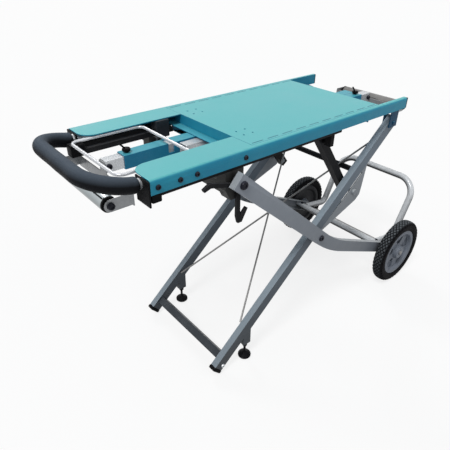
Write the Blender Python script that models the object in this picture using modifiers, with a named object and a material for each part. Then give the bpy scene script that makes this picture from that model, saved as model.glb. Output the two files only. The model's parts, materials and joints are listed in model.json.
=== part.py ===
import math

import bmesh
import bpy
from mathutils import Matrix, Vector

# Rolling folding work stand: a sheet steel table on scissor legs, with two wheels.
# Metres, +Z up, +X toward the wheels, -X toward the grip, -Y the front side.
# The front piece of a pair has side -1 and the rear piece side +1.

# Table
table_height = 0.730
table_length = 0.949
table_width = 0.393
table_left = -0.5442
sheet = 0.0025
skirt_height = 0.034
shoulder_radius = 0.0065
rail_strip = 0.0136
rail_wall = 0.002
rail_plug_thickness = 0.004
arm_width = 0.086
arm_corner_radius = 0.038
opening_length = 0.290
deck_length = 0.519
deck_flange_depth = 0.0255
deck_slot_count = 10
deck_slot_length = 0.036
deck_slot_width = 0.0022
deck_slot_inset = 0.008
deck_hole_radius = 0.0028
cross_lip_width = 0.024
cross_web_depth = 0.033
rail_bolt_radius = 0.0045
rail_bolt_head = 0.002
rail_bolt_places = (0.018, 0.073, 0.117, 0.259)

# Handle and rail ends
handle_reach = 0.1065
handle_spacing = 0.320
handle_tube_radius = 0.0125
handle_bend_radius = 0.076
handle_rise = 0.022
handle_kink = 0.0205
handle_anchor = 0.060
grip_radius = 0.0185
grip_collar = 0.006
handle_drop = 0.0175
end_cap_thickness = 0.004
end_cap_depth = 0.0615
end_cap_width = 0.053
bumper_length = 0.024
bumper_depth = 0.020
bumper_width = 0.009

# Scissor geometry
pivot_drop = 0.075
hinge_inset = 0.044
scissor_arm = 0.443
leg_angle = math.radians(40.88)
strut_arm = 0.2514
strut_angle = math.radians(53.1)
pivot_radius = 0.006

# Leg frame
leg_width = 0.0215
leg_depth = 0.036
leg_drop = 0.005
leg_wall = 0.002
leg_spacing = 0.350
leg_top_overhang = 0.018
foot_cap_length = 0.012
foot_cap_margin = 0.002
foot_cap_ground_gap = 0.004
foot_bar_size = 0.025
foot_bar_setback = 0.0346
upper_bar_radius = 0.009
upper_bar_distance = 0.194
upper_bar_offset = 0.0085
brace_radius = 0.003
brace_top_distance = 0.095
brace_low_setback = 0.1536
strut_plate = 0.005
strut_plate_top = 0.150
strut_plate_low = 0.415
strut_plate_foot = 0.034
strut_plate_rim = 0.026
leveller_setback = 0.1587
leveller_disc_radius = 0.021
leveller_disc_height = 0.012
leveller_stud_radius = 0.004
leveller_stud_length = 0.078
leveller_block_width = 0.028
leveller_block_bottom = 0.058

# Wheel frame
bar_width = 0.044
bar_depth = 0.020
bar_wall = 0.003
bar_gap = 0.01225
carriage_side_gap = 0.0085
bar_end = 0.020
bar_bend = 0.088
bar_bend_run = 0.075
tail_width = 0.039
hub_distance_x = 0.461
wheel_radius = 0.127
tyre_width = 0.042
rim_radius = 0.0915
hub_radius = 0.024
axle_radius = 0.008
wheel_gap = 0.0042
spoke_count = 5
wheel_facets = 30
frame_tube_radius = 0.011
frame_tube_setback = 0.070
frame_tube_offset = 0.004
hoop_spacing = 0.360
hoop_knee_x = 0.079
hoop_knee_height = 0.134
hoop_rise = 0.235
hoop_angle = math.radians(67.0)
hoop_bend_radius = 0.032

# Slides under the rails
track_width = 0.026
track_height = 0.013
track_wall = 0.002
track_slot = 0.012
track_end_margin = 0.004
runner_margin = 0.0005
carriage_length = 0.056
carriage_bottom = 0.050
carriage_inner = 0.152
carriage_beam_height = 0.028
carriage_beam_length = 0.040
carriage_beam_drop = 0.037
strut_size = 0.025
strut_overhang = 0.016
strut_gap = 0.008
slider_length = 0.036
slider_bottom = 0.015
latch_thickness = 0.008
latch_reach = 0.098
latch_hub_radius = 0.014
latch_arm_width = 0.011
hook_drop = 0.105
hook_return = 0.026

# Extensions
guide_size = 0.036
guide_wall = 0.0025
guide_offset_y = 0.032
guide_left = 0.056
guide_right = 0.960
second_guide_left = 0.300
guide_notch_left = 0.127
guide_notch_length = 0.017
extension_size = 0.0295
extension_wall = 0.002
left_extension_end = 0.008
left_extension_length = 0.470
left_roller_length = 0.268
left_roller_offset = 0.058
left_roller_drop = 0.0285
right_extension_end = 1.012
right_extension_length = 0.797
right_roller_length = 0.244
right_roller_offset = 0.038
right_roller_drop = 0.0155
roller_radius = 0.019
roller_axle_radius = 0.005
bracket_sheet = 0.003
bracket_height = 0.030
knob_radius = 0.011
knob_height = 0.012
knob_inset = 0.016
knob_wing = 0.022

# Release bail and its pull bar
bail_radius = 0.004
bail_spacing = 0.236
bail_left = -0.031
bail_length = 0.197
bail_drop = 0.0095
bail_bend_radius = 0.020
pull_bar_size = 0.014
pull_bar_offset_y = 0.117
pull_bar_drop = 0.037
pull_bar_margin = 0.004
pull_block_length = 0.036
pull_block_width = 0.028
pull_block_lead = 0.006
pull_guide_left = 0.205
pull_guide_length = 0.040
pull_guide_wall = 0.007

# Clearances
seat_gap = 0.0003
turn_gap = 0.0004
slide_gap = 0.0005

# Derived places
half_width = table_width / 2
table_right = table_left + table_length
skirt_bottom = table_height - skirt_height
deck_left = table_left + opening_length + seat_gap
deck_right = deck_left + deck_length
seam = half_width - rail_strip
under_sheet = table_height - sheet
pivot_height = table_height - pivot_drop
hinge_a = Vector((table_right - hinge_inset, pivot_height))
leg_direction = Vector((-math.cos(leg_angle), -math.sin(leg_angle)))
leg_normal = Vector((math.sin(leg_angle), -math.cos(leg_angle)))
pivot_c = hinge_a + scissor_arm * leg_direction
pivot_b = Vector((hinge_a.x - 2 * scissor_arm * math.cos(leg_angle), pivot_height))
strut_direction = Vector((-math.cos(strut_angle), -math.sin(strut_angle)))
pivot_e = hinge_a + strut_arm * strut_direction
pivot_d = Vector((hinge_a.x - 2 * strut_arm * math.cos(strut_angle), pivot_height))
leg_centre = leg_spacing / 2
leg_outer = leg_centre + leg_width / 2
leg_inner = leg_centre - leg_width / 2
leg_low = leg_drop + leg_depth / 2
cap_low = leg_low + foot_cap_margin
leg_length = (
    pivot_height - foot_cap_ground_gap - cap_low * math.cos(leg_angle)
) / math.sin(leg_angle) - foot_cap_length
foot_bar_distance = leg_length - foot_bar_setback
brace_low_distance = leg_length - brace_low_setback
leveller_x = (hinge_a + (leg_length - leveller_setback) * leg_direction).x
bar_inner = leg_outer + bar_gap
bar_outer = bar_inner + bar_depth
hub = Vector((pivot_c.x + hub_distance_x, wheel_radius))
bar_direction = (pivot_c - pivot_b).normalized()
bar_normal = Vector((-bar_direction.y, bar_direction.x))
bend = pivot_c + bar_bend * bar_direction
tail_direction = (hub - bend).normalized()
tail_normal = Vector((-tail_direction.y, tail_direction.x))
frame_tube = hub - frame_tube_setback * tail_direction + frame_tube_offset * tail_normal
wheel_centre = bar_outer + wheel_gap + tyre_width / 2
track_centre = leg_centre - leg_wall
track_top = skirt_bottom - seat_gap
track_bottom = track_top - track_height
guide_top = skirt_bottom + sheet
extension_centre = guide_top - guide_size / 2
second_guide_y = guide_offset_y - guide_size - slide_gap
handle_height = table_height - handle_drop
bail_height = table_height - bail_drop
strut_outer = track_centre - track_width / 2 - strut_gap + strut_size * 0.02
strut_centre = strut_outer - strut_size / 2

finishes = {
    "teal": ((0.19, 0.55, 0.58), 0.42, 0.0),
    "deep_teal": ((0.03, 0.20, 0.36), 0.45, 0.0),
    "grey_paint": ((0.17, 0.20, 0.24), 0.45, 0.2),
    "black_steel": ((0.02, 0.02, 0.023), 0.40, 0.3),
    "zinc": ((0.62, 0.64, 0.66), 0.28, 1.0),
    "foam": ((0.015, 0.016, 0.02), 0.75, 0.0),
    "rubber": ((0.012, 0.012, 0.013), 0.80, 0.0),
    "plastic": ((0.018, 0.018, 0.02), 0.50, 0.0),
    "rim_plastic": ((0.22, 0.24, 0.28), 0.45, 0.0),
}

for old in list(bpy.data.objects):
    bpy.data.objects.remove(old, do_unlink=True)
parts = bpy.data.collections.new("work_stand")
helpers = bpy.data.collections.new("cutters")
bpy.context.scene.collection.children.link(parts)
bpy.context.scene.collection.children.link(helpers)


# Shape helpers
def finish_material(name, finish):
    colour, roughness, metallic = finishes[finish]
    material = bpy.data.materials.new(name)
    material.use_nodes = True
    shader = material.node_tree.nodes["Principled BSDF"]
    shader.inputs["Base Color"].default_value = (*colour, 1.0)
    shader.inputs["Roughness"].default_value = roughness
    shader.inputs["Metallic"].default_value = metallic
    return material


def mesh_from_bmesh(name, shape):
    bmesh.ops.remove_doubles(shape, verts=shape.verts, dist=1e-6)
    bmesh.ops.recalc_face_normals(shape, faces=shape.faces)
    mesh = bpy.data.meshes.new(name)
    shape.to_mesh(mesh)
    shape.free()
    return mesh


def helper(mesh):
    obj = bpy.data.objects.new(mesh.name, mesh)
    obj.hide_render = True
    obj.display_type = "WIRE"
    helpers.objects.link(obj)
    return obj


def part(name, mesh, finish, joint=None):
    mesh.name = name
    mesh.materials.append(finish_material(name, finish))
    mesh.shade_smooth()
    mesh.set_sharp_from_angle(angle=math.radians(35))
    obj = bpy.data.objects.new(name, mesh)
    parts.objects.link(obj)
    if joint:
        obj.parent = joint
        obj.matrix_parent_inverse = joint.matrix_world.inverted()
    return obj


def joint_empty(name, place, parent=None):
    empty = bpy.data.objects.new(name, None)
    empty.empty_display_size = 0.03
    empty.location = place
    parts.objects.link(empty)
    bpy.context.view_layer.update()
    if parent:
        empty.parent = parent
        empty.matrix_parent_inverse = parent.matrix_world.inverted()
        bpy.context.view_layer.update()
    return empty


def boolean(obj, mesh, operation):
    modifier = obj.modifiers.new(operation.lower(), "BOOLEAN")
    modifier.operation = operation
    modifier.solver = "EXACT"
    modifier.object = helper(mesh)


def cut(obj, *meshes):
    for mesh in meshes:
        boolean(obj, mesh, "DIFFERENCE")


def fuse(obj, *meshes):
    for mesh in meshes:
        boolean(obj, mesh, "UNION")


def round_edges(obj, width, segments=2):
    modifier = obj.modifiers.new("bevel", "BEVEL")
    modifier.width = width
    modifier.segments = segments
    modifier.limit_method = "ANGLE"
    modifier.angle_limit = math.radians(40)


def box(low, high):
    shape = bmesh.new()
    bmesh.ops.create_cube(shape, size=1.0)
    size = Vector(high) - Vector(low)
    middle = (Vector(high) + Vector(low)) / 2
    bmesh.ops.scale(shape, vec=size, verts=shape.verts)
    bmesh.ops.translate(shape, vec=middle, verts=shape.verts)
    return mesh_from_bmesh("box", shape)


def cylinder(start, end, radius, sides=16):
    start, end = Vector(start), Vector(end)
    axis = end - start
    turn = axis.to_track_quat("Z", "Y").to_matrix().to_4x4()
    shape = bmesh.new()
    bmesh.ops.create_cone(
        shape, cap_ends=True, segments=sides, radius1=radius, radius2=radius, depth=axis.length,
        matrix=Matrix.Translation((start + end) / 2) @ turn,
    )
    return mesh_from_bmesh("cylinder", shape)


def joined(meshes):
    shape = bmesh.new()
    for mesh in meshes:
        shape.from_mesh(mesh)
    return mesh_from_bmesh("joined", shape)


def mesh_from_curve(curve, frame=Matrix()):
    obj = bpy.data.objects.new(curve.name, curve)
    helpers.objects.link(obj)
    graph = bpy.context.evaluated_depsgraph_get()
    mesh = bpy.data.meshes.new_from_object(obj.evaluated_get(graph))
    shape = bmesh.new()
    shape.from_mesh(mesh)
    bmesh.ops.transform(shape, matrix=frame, verts=shape.verts)
    bpy.data.objects.remove(obj, do_unlink=True)
    bpy.data.meshes.remove(mesh)
    return mesh_from_bmesh(curve.name, shape)


def extruded(loops, depth, frame):
    curve = bpy.data.curves.new("outline", "CURVE")
    curve.dimensions = "2D"
    curve.fill_mode = "BOTH"
    curve.extrude = depth / 2
    for loop in loops:
        spline = curve.splines.new("POLY")
        spline.points.add(len(loop) - 1)
        for point, place in zip(spline.points, loop):
            point.co = (place[0], place[1], 0.0, 1.0)
        spline.use_cyclic_u = True
    return mesh_from_curve(curve, frame)


def plate_xz(loops, y_one, y_two):
    middle = (y_one + y_two) / 2
    frame = Matrix(((1, 0, 0, 0), (0, 0, -1, middle), (0, 1, 0, 0), (0, 0, 0, 1)))
    return extruded(loops, abs(y_two - y_one), frame)


def plate_yz(loops, x_one, x_two):
    middle = (x_one + x_two) / 2
    frame = Matrix(((0, 0, 1, middle), (1, 0, 0, 0), (0, 1, 0, 0), (0, 0, 0, 1)))
    return extruded(loops, abs(x_two - x_one), frame)


def plate_xy(loops, z_one, z_two):
    middle = (z_one + z_two) / 2
    return extruded(loops, abs(z_two - z_one), Matrix.Translation((0, 0, middle)))


def bar_along(loops, start, end, across):
    start, end, across = Vector(start), Vector(end), Vector(across)
    axis = (end - start).normalized()
    other = axis.cross(across)
    frame = Matrix((across, other, axis)).transposed().to_4x4()
    frame.translation = (start + end) / 2
    return extruded(loops, (end - start).length, frame)


def rod(points, radius, closed=False, resolution=3):
    curve = bpy.data.curves.new("rod", "CURVE")
    curve.dimensions = "3D"
    curve.bevel_depth = radius
    curve.bevel_resolution = resolution
    curve.use_fill_caps = True
    spline = curve.splines.new("POLY")
    spline.points.add(len(points) - 1)
    for point, place in zip(spline.points, points):
        point.co = (*place, 1.0)
    spline.use_cyclic_u = closed
    return mesh_from_curve(curve)


def turned(profile, place, axis, steps=32, closed=False):
    mesh = bpy.data.meshes.new("profile")
    count = len(profile)
    edges = [(i, i + 1) for i in range(count - 1)]
    if closed:
        edges.append((count - 1, 0))
    mesh.from_pydata([(radius, 0.0, height) for radius, height in profile], edges, [])
    obj = bpy.data.objects.new("profile", mesh)
    helpers.objects.link(obj)
    modifier = obj.modifiers.new("screw", "SCREW")
    modifier.steps = steps
    modifier.render_steps = steps
    modifier.use_merge_vertices = True
    modifier.merge_threshold = 1e-5
    graph = bpy.context.evaluated_depsgraph_get()
    result = bpy.data.meshes.new_from_object(obj.evaluated_get(graph))
    turn = Vector(axis).to_track_quat("Z", "Y").to_matrix().to_4x4()
    shape = bmesh.new()
    shape.from_mesh(result)
    bmesh.ops.transform(shape, matrix=Matrix.Translation(place) @ turn, verts=shape.verts)
    bpy.data.objects.remove(obj, do_unlink=True)
    return mesh_from_bmesh("turned", shape)


def rectangle(centre, width, height):
    x, y = centre
    w, h = width / 2, height / 2
    return [(x - w, y - h), (x + w, y - h), (x + w, y + h), (x - w, y + h)]


def arc(centre, radius, start, end, count=8):
    points = []
    for i in range(count + 1):
        angle = math.radians(start + (end - start) * i / count)
        points.append((centre[0] + radius * math.cos(angle), centre[1] + radius * math.sin(angle)))
    return points


def bent_edge(start, corner, end, count=6):
    points = []
    for i in range(count + 1):
        t = i / count
        points.append((1 - t) ** 2 * start + 2 * t * (1 - t) * corner + t * t * end)
    return points


def rounded_path(corners, radius, count=8, closed=False):
    corners = [Vector(corner) for corner in corners]
    total = len(corners)
    points = []
    for i, corner in enumerate(corners):
        if not closed and i in (0, total - 1):
            points.append(corner)
            continue
        before = (corners[i - 1] - corner).normalized()
        after = (corners[(i + 1) % total] - corner).normalized()
        half = before.angle(after) / 2
        reach = radius / math.tan(half)
        centre = corner + (before + after).normalized() * (radius / math.sin(half))
        first = corner + before * reach - centre
        axis = before.cross(after).normalized()
        sweep = math.pi - 2 * half
        steps = max(1, round(count * sweep / math.radians(90)))
        for step in range(steps + 1):
            turn = Matrix.Rotation(-sweep * step / steps, 3, axis)
            points.append(centre + turn @ first)
    return points


def at(point, y):
    return (point[0], y, point[1])


def headed_pin(point, side, inner_end, head_start, outer_end):
    head = pivot_radius * 1.6
    profile = [
        (0, outer_end), (head * 0.85, outer_end), (head, outer_end - 0.001), (head, head_start),
        (pivot_radius, head_start), (pivot_radius, inner_end), (0, inner_end),
    ]
    return turned(profile, at(point, 0), (0, side, 0), 16)


def leg_point(distance, offset=0.0):
    return hinge_a + distance * leg_direction + offset * leg_normal


def side_name(side):
    return "front" if side < 0 else "rear"


# Joint axes
fold_joint = joint_empty("leg_fold_axis", at(hinge_a, 0))
wheel_frame_joint = joint_empty("wheel_frame_axis", at(pivot_c, 0), fold_joint)
carriage_joint = joint_empty("carriage_axis", at(pivot_b, 0), wheel_frame_joint)
latch_joint = joint_empty("latch_axis", at(pivot_b, 0), carriage_joint)
bail_joint = joint_empty("bail_axis", (table_left, 0, bail_height))


# Table
def rail_section(side):
    loops = []
    for inset in (0, rail_wall):
        round_centre = (half_width - shoulder_radius, table_height - shoulder_radius)
        points = [(seam + inset, skirt_bottom + inset), (half_width - inset, skirt_bottom + inset)]
        points += arc(round_centre, shoulder_radius - inset, 0, 90, 4)
        points += [(seam + inset, table_height - inset)]
        loops.append([(side * w, z) for w, z in points])
    return loops


def make_rail(side):
    obj = part(f"{side_name(side)}_rail", plate_yz(rail_section(side), table_left, table_right), "teal")
    inner = half_width - arm_width
    arm_right = table_left + opening_length - seat_gap
    corner = (table_left + arm_corner_radius, inner + arm_corner_radius)
    outline = arc(corner, arm_corner_radius, 180, 270)
    outline += [(arm_right, inner), (arm_right, seam + rail_wall / 2), (table_left, seam + rail_wall / 2)]
    fuse(obj, plate_xy([[(x, side * w) for x, w in outline]], under_sheet, table_height))
    for distance in rail_bolt_places:
        place = Vector((table_left + distance, side * half_width, skirt_bottom + skirt_height * 0.45))
        out = Vector((0, side * rail_bolt_head, 0))
        fuse(obj, cylinder(place - out, place + out, rail_bolt_radius, 12))


def make_deck():
    edge = seam - slide_gap
    plate = box((deck_left, -edge, under_sheet), (deck_right, edge, table_height))
    obj = part("deck_plate", plate, "teal")
    low = under_sheet - deck_flange_depth
    for x in (deck_left, deck_right - sheet):
        fuse(obj, box((x, -edge, low), (x + sheet, edge, table_height - sheet / 2)))
    pitch = deck_length / deck_slot_count
    cutters = []
    for side in (-1, 1):
        for i in range(deck_slot_count):
            x = deck_left + (i + 0.5) * pitch
            y = side * (edge - deck_slot_inset)
            cutters.append(box(
                (x - deck_slot_length / 2, y - deck_slot_width / 2, under_sheet - sheet),
                (x + deck_slot_length / 2, y + deck_slot_width / 2, table_height + sheet),
            ))
        for x in (0.030, 0.060):
            for w in (0.090, 0.120):
                place = Vector((deck_left + x, side * w, under_sheet - sheet))
                cutters.append(cylinder(place, place + Vector((0, 0, 3 * sheet)), deck_hole_radius, 10))
    cut(obj, joined(cutters))


def make_cross_member(name, web_left, lip_sign):
    lip_low = guide_top + seat_gap
    lip_half = seam - seat_gap
    web_half = track_centre - track_width / 2 - slide_gap
    web_right = web_left + sheet
    lip_end = web_left - cross_lip_width if lip_sign < 0 else web_right + cross_lip_width
    lip = box(
        (min(web_left, lip_end), -lip_half, lip_low), (max(web_right, lip_end), lip_half, lip_low + sheet)
    )
    obj = part(name, lip, "deep_teal")
    web_bottom = lip_low + sheet - cross_web_depth
    fuse(obj, box((web_left, -web_half, web_bottom), (web_right, web_half, lip_low + sheet / 2)))
    notch = guide_size / 2 + slide_gap
    cut(obj, box(
        (web_left - sheet, second_guide_y - notch, web_bottom - sheet),
        (web_right + sheet, guide_offset_y + notch, lip_low - seat_gap / 2),
    ))


def make_track(side):
    half = track_width / 2
    inner = half - track_wall
    slot = track_slot / 2
    points = [
        (-half, track_bottom), (-slot, track_bottom), (-slot, track_bottom + track_wall),
        (-inner, track_bottom + track_wall), (-inner, track_top - track_wall),
        (inner, track_top - track_wall), (inner, track_bottom + track_wall),
        (slot, track_bottom + track_wall), (slot, track_bottom), (half, track_bottom),
        (half, track_top), (-half, track_top),
    ]
    loop = [(side * track_centre + w, z) for w, z in points]
    right = pivot_d.x + slider_length
    part(f"{side_name(side)}_track", plate_yz([loop], table_left + track_end_margin, right), "black_steel")


def handle_path(start_x, radius_path=handle_bend_radius):
    y = handle_spacing / 2
    left = table_left - handle_reach
    kink = table_left - handle_kink
    high = handle_height + handle_rise
    corners = [
        (start_x, -y, handle_height), (kink, -y, handle_height), (left, -y, high),
        (left, y, high), (kink, y, handle_height), (start_x, y, handle_height),
    ]
    return rounded_path(corners, radius_path, 6)


def make_handle():
    tube = rod(handle_path(table_left + handle_anchor), handle_tube_radius)
    part("handle_tube", tube, "zinc")
    grip_start = table_left - end_cap_thickness - grip_collar
    grip = part("handle_grip", rod(handle_path(grip_start), grip_radius), "foam")
    cut(grip, rod(handle_path(table_left), handle_tube_radius + seat_gap))


def make_end_cap(side):
    low_w = half_width - end_cap_width
    y_one, y_two = sorted((side * low_w, side * half_width))
    right = table_left - seat_gap
    block = box(
        (right - end_cap_thickness, y_one, table_height - end_cap_depth),
        (right, y_two, under_sheet),
    )
    obj = part(f"{side_name(side)}_end_cap", block, "plastic")
    y = side * handle_spacing / 2
    hole = handle_tube_radius + seat_gap
    hole_start = (right - 2 * end_cap_thickness, y, handle_height)
    cut(obj, cylinder(hole_start, (right + sheet, y, handle_height), hole))


def make_bumper(side):
    left = table_left + sheet
    y_one, y_two = sorted((side * (half_width - bumper_width), side * half_width))
    top = skirt_bottom - seat_gap
    block = box((left, y_one, top - bumper_depth), (left + bumper_length, y_two, top))
    obj = part(f"{side_name(side)}_bumper", block, "rubber")
    round_edges(obj, bumper_width * 0.3)


def make_rail_plug(side):
    left = table_right + seat_gap
    y_one, y_two = sorted((side * seam, side * half_width))
    plug = box((left, y_one, skirt_bottom), (left + rail_plug_thickness, y_two, table_height - sheet / 2))
    obj = part(f"{side_name(side)}_rail_plug", plug, "plastic")
    round_edges(obj, rail_plug_thickness * 0.3)
    inset = rail_wall + seat_gap
    core_top = table_height - shoulder_radius
    fuse(obj, box(
        (table_right - 0.02, y_one + inset, skirt_bottom + inset),
        (left + rail_plug_thickness / 2, y_two - inset, core_top),
    ))


def make_hinge_bracket(side):
    gap = bracket_sheet
    inner = leg_inner - gap
    outer = leg_outer + gap
    top = skirt_bottom - seat_gap
    bottom = pivot_height - 0.022
    points = [
        (inner - gap, bottom), (inner - gap, top), (outer + gap, top), (outer + gap, bottom),
        (outer, bottom), (outer, top - gap), (inner, top - gap), (inner, bottom),
    ]
    loop = [(side * w, z) for w, z in points]
    shell = plate_yz([loop], hinge_a.x - 0.024, hinge_a.x + 0.017)
    obj = part(f"{side_name(side)}_hinge_bracket", shell, "deep_teal")
    pin_start = at(hinge_a, side * (inner - 2 * gap))
    fuse(obj, cylinder(pin_start, at(hinge_a, side * (outer + 2 * gap)), pivot_radius))


# Extensions
def make_guide(name, y, left, right):
    centre = (y, extension_centre)
    inner = guide_size - 2 * guide_wall
    loops = [rectangle(centre, guide_size, guide_size), rectangle(centre, inner, inner)]
    return part(name, plate_yz(loops, table_left + left, table_left + right), "deep_teal")


def make_guides():
    obj = make_guide("guide_channel", guide_offset_y, guide_left, guide_right)
    notch = table_left + guide_left + guide_notch_left
    inner = guide_size - 2 * guide_wall
    cut(obj, box(
        (notch, guide_offset_y - guide_size, extension_centre - inner / 4),
        (notch + guide_notch_length, guide_offset_y + inner / 2, guide_top + guide_wall),
    ))
    make_guide("second_guide_channel", second_guide_y, second_guide_left, guide_right)


def make_extension(name, y, end_x, out, length, roller_length, roller_offset, roller_drop):
    joint = joint_empty(f"{name}_slide_axis", (end_x, y, extension_centre))
    inner = extension_size - 2 * extension_wall
    centre = (y, extension_centre)
    loops = [rectangle(centre, extension_size, extension_size), rectangle(centre, inner, inner)]
    part(f"{name}_extension_tube", plate_yz(loops, end_x, end_x - out * length), "zinc", joint)
    axle = Vector((end_x + out * roller_offset, extension_centre - roller_drop))
    half = roller_length / 2 + bracket_sheet
    wide = half + bracket_sheet
    base_low = axle.y - roller_radius + seat_gap
    base_high = base_low + bracket_height
    tab = extension_size / 2
    points = [
        (-wide, base_low), (wide, base_low), (wide, base_high),
        (tab, base_high), (tab, extension_centre + inner / 2), (-tab, extension_centre + inner / 2),
        (-tab, base_high), (-wide, base_high),
    ]
    face = end_x + out * seat_gap
    loop = [(y + w, z) for w, z in points]
    bracket = part(
        f"{name}_roller_bracket", plate_yz([loop], face, face + out * bracket_sheet), "zinc", joint
    )
    nose = arc(axle, bracket_height / 2, 90, 270) if out < 0 else arc(axle, bracket_height / 2, 90, -90)
    ear = nose + [(face, axle.y - bracket_height / 2), (face, axle.y + bracket_height / 2)]
    for sign in (-1, 1):
        ear_y = y + sign * half
        loop = [(x + out * sheet / 2 * (x == face), z) for x, z in ear]
        fuse(bracket, plate_xz([loop], ear_y, ear_y + sign * bracket_sheet))
    reach = half + 3 * bracket_sheet
    pin_start = at(axle, y - reach)
    fuse(bracket, cylinder(pin_start, at(axle, y + reach), roller_axle_radius, 16))
    roller_joint = joint_empty(f"{name}_roller_axis", at(axle, y), joint)
    bore = roller_axle_radius + turn_gap
    end = roller_length / 2
    recess = end - 0.006
    profile = [
        (bore, recess), (roller_radius * 0.62, recess), (roller_radius * 0.70, end),
        (roller_radius - 0.001, end), (roller_radius, end - 0.001),
        (roller_radius, -end + 0.001), (roller_radius - 0.001, -end),
        (roller_radius * 0.70, -end), (roller_radius * 0.62, -recess), (bore, -recess),
    ]
    part(
        f"{name}_roller", turned(profile, at(axle, y), (0, 1, 0), 18, True), "zinc", roller_joint
    )


def make_knob(name, x, y, wing_sign):
    joint = joint_empty(f"{name}_knob_axis", (x, y, guide_top))
    bottom = seat_gap
    profile = [
        (0, knob_height), (knob_radius * 0.7, knob_height), (knob_radius, knob_height * 0.75),
        (knob_radius, knob_height * 0.35), (knob_radius * 0.6, bottom), (0, bottom),
    ]
    obj = part(f"{name}_clamp_knob", turned(profile, (x, y, guide_top), (0, 0, 1), 16), "plastic", joint)
    fuse(obj, box(
        (min(x, x + wing_sign * knob_wing), y - 0.003, guide_top + knob_height * 0.45),
        (max(x, x + wing_sign * knob_wing), y + 0.003, guide_top + knob_height * 0.9),
    ))


# Release bail with its pull bar
def make_release():
    y = bail_spacing / 2
    left = table_left + bail_left
    corners = [
        (left, -y, bail_height), (left + bail_length, -y, bail_height),
        (left + bail_length, y, bail_height), (left, y, bail_height),
    ]
    ring = rod(rounded_path(corners, bail_bend_radius, 4, True), bail_radius, True, 2)
    part("release_bail", ring, "zinc", bail_joint)
    bar_height = table_height - pull_bar_drop
    half = pull_bar_size / 2
    block_top = bail_height - bail_radius - seat_gap
    block_left = left - pull_block_lead
    block_right = block_left + pull_block_length
    block = box(
        (block_left, pull_bar_offset_y - pull_block_width / 2, bar_height - half),
        (block_right, pull_bar_offset_y + pull_block_width / 2, block_top),
    )
    round_edges(part("pull_block", block, "plastic", bail_joint), 0.002)
    bar = box(
        (block_right + seat_gap, pull_bar_offset_y - half, bar_height - half),
        (deck_left - cross_lip_width - pull_bar_margin, pull_bar_offset_y + half, bar_height + half),
    )
    part("pull_bar", bar, "black_steel", bail_joint)
    guide = table_left + pull_guide_left
    hole = half + slide_gap
    outer = half + pull_guide_wall
    obj = part("pull_bar_guide", box(
        (guide, pull_bar_offset_y - outer, bar_height - outer),
        (guide + pull_guide_length, pull_bar_offset_y + outer, under_sheet - seat_gap),
    ), "grey_paint")
    cut(obj, box(
        (guide - sheet, pull_bar_offset_y - hole, bar_height - hole),
        (guide + pull_guide_length + sheet, pull_bar_offset_y + hole, bar_height + hole),
    ))


# Leg frame
def make_leg(side):
    start = at(leg_point(-leg_top_overhang, leg_drop), side * leg_centre)
    end = at(leg_point(leg_length, leg_drop), side * leg_centre)
    walls = 2 * leg_wall
    outer = rectangle((0, 0), leg_width, leg_depth)
    inner = rectangle((0, 0), leg_width - walls, leg_depth - walls)
    loops = [outer, inner]
    obj = part(f"{side_name(side)}_leg", bar_along(loops, start, end, (0, 1, 0)), "grey_paint", fold_joint)
    x = leveller_x
    half = leveller_block_width / 2
    corners = [(x - half, leveller_block_bottom), (x + half, leveller_block_bottom)]
    for edge in (x + half, x - half):
        distance = (hinge_a.x - edge + leg_low * math.sin(leg_angle)) / math.cos(leg_angle)
        corners.append(tuple(leg_point(distance, leg_low - leg_wall / 2)))
    y_one, y_two = side * leg_inner, side * leg_outer
    fuse(obj, plate_xz([corners], y_one, y_two))
    bore = leveller_stud_radius + turn_gap
    y = side * leg_centre
    cut(obj, cylinder((x, y, 0), (x, y, leveller_stud_length + 0.004), bore, 16))
    reach = leg_width
    for point in (hinge_a, pivot_c):
        cut(obj, cylinder(at(point, y - reach), at(point, y + reach), pivot_radius + turn_gap))
    make_foot_cap(side)
    make_leveller(side, x)


def make_foot_cap(side):
    y = side * leg_centre
    rim = 2 * foot_cap_margin
    start = at(leg_point(leg_length + seat_gap, leg_drop), y)
    end = at(leg_point(leg_length + foot_cap_length, leg_drop), y)
    cap = bar_along([rectangle((0, 0), leg_width + rim, leg_depth + rim)], start, end, (0, 1, 0))
    obj = part(f"{side_name(side)}_foot_cap", cap, "rubber", fold_joint)
    round_edges(obj, foot_cap_length * 0.3)
    less = 2 * leg_wall + 2 * seat_gap
    plug_start = at(leg_point(leg_length - 0.02, leg_drop), y)
    plug_end = at(leg_point(leg_length + foot_cap_length / 2, leg_drop), y)
    plug = rectangle((0, 0), leg_width - less, leg_depth - less)
    fuse(obj, bar_along([plug], plug_start, plug_end, (0, 1, 0)))


def make_leveller(side, x):
    y = side * leg_centre
    joint = joint_empty(f"{side_name(side)}_leveller_axis", (x, y, 0), fold_joint)
    nut_low = leveller_block_bottom - 0.012
    nut_high = leveller_block_bottom - seat_gap
    profile = [
        (0, leveller_stud_length), (leveller_stud_radius, leveller_stud_length),
        (leveller_stud_radius, nut_high), (0.0075, nut_high),
        (0.0075, nut_low), (leveller_stud_radius, nut_low),
        (leveller_stud_radius, leveller_disc_height + 0.006),
        (leveller_disc_radius * 0.5, leveller_disc_height),
        (leveller_disc_radius, leveller_disc_height * 0.6), (leveller_disc_radius, 0.001),
        (leveller_disc_radius - 0.001, 0), (0, 0),
    ]
    part(f"{side_name(side)}_leveller", turned(profile, (x, y, 0), (0, 0, 1), 14), "plastic", joint)


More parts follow.
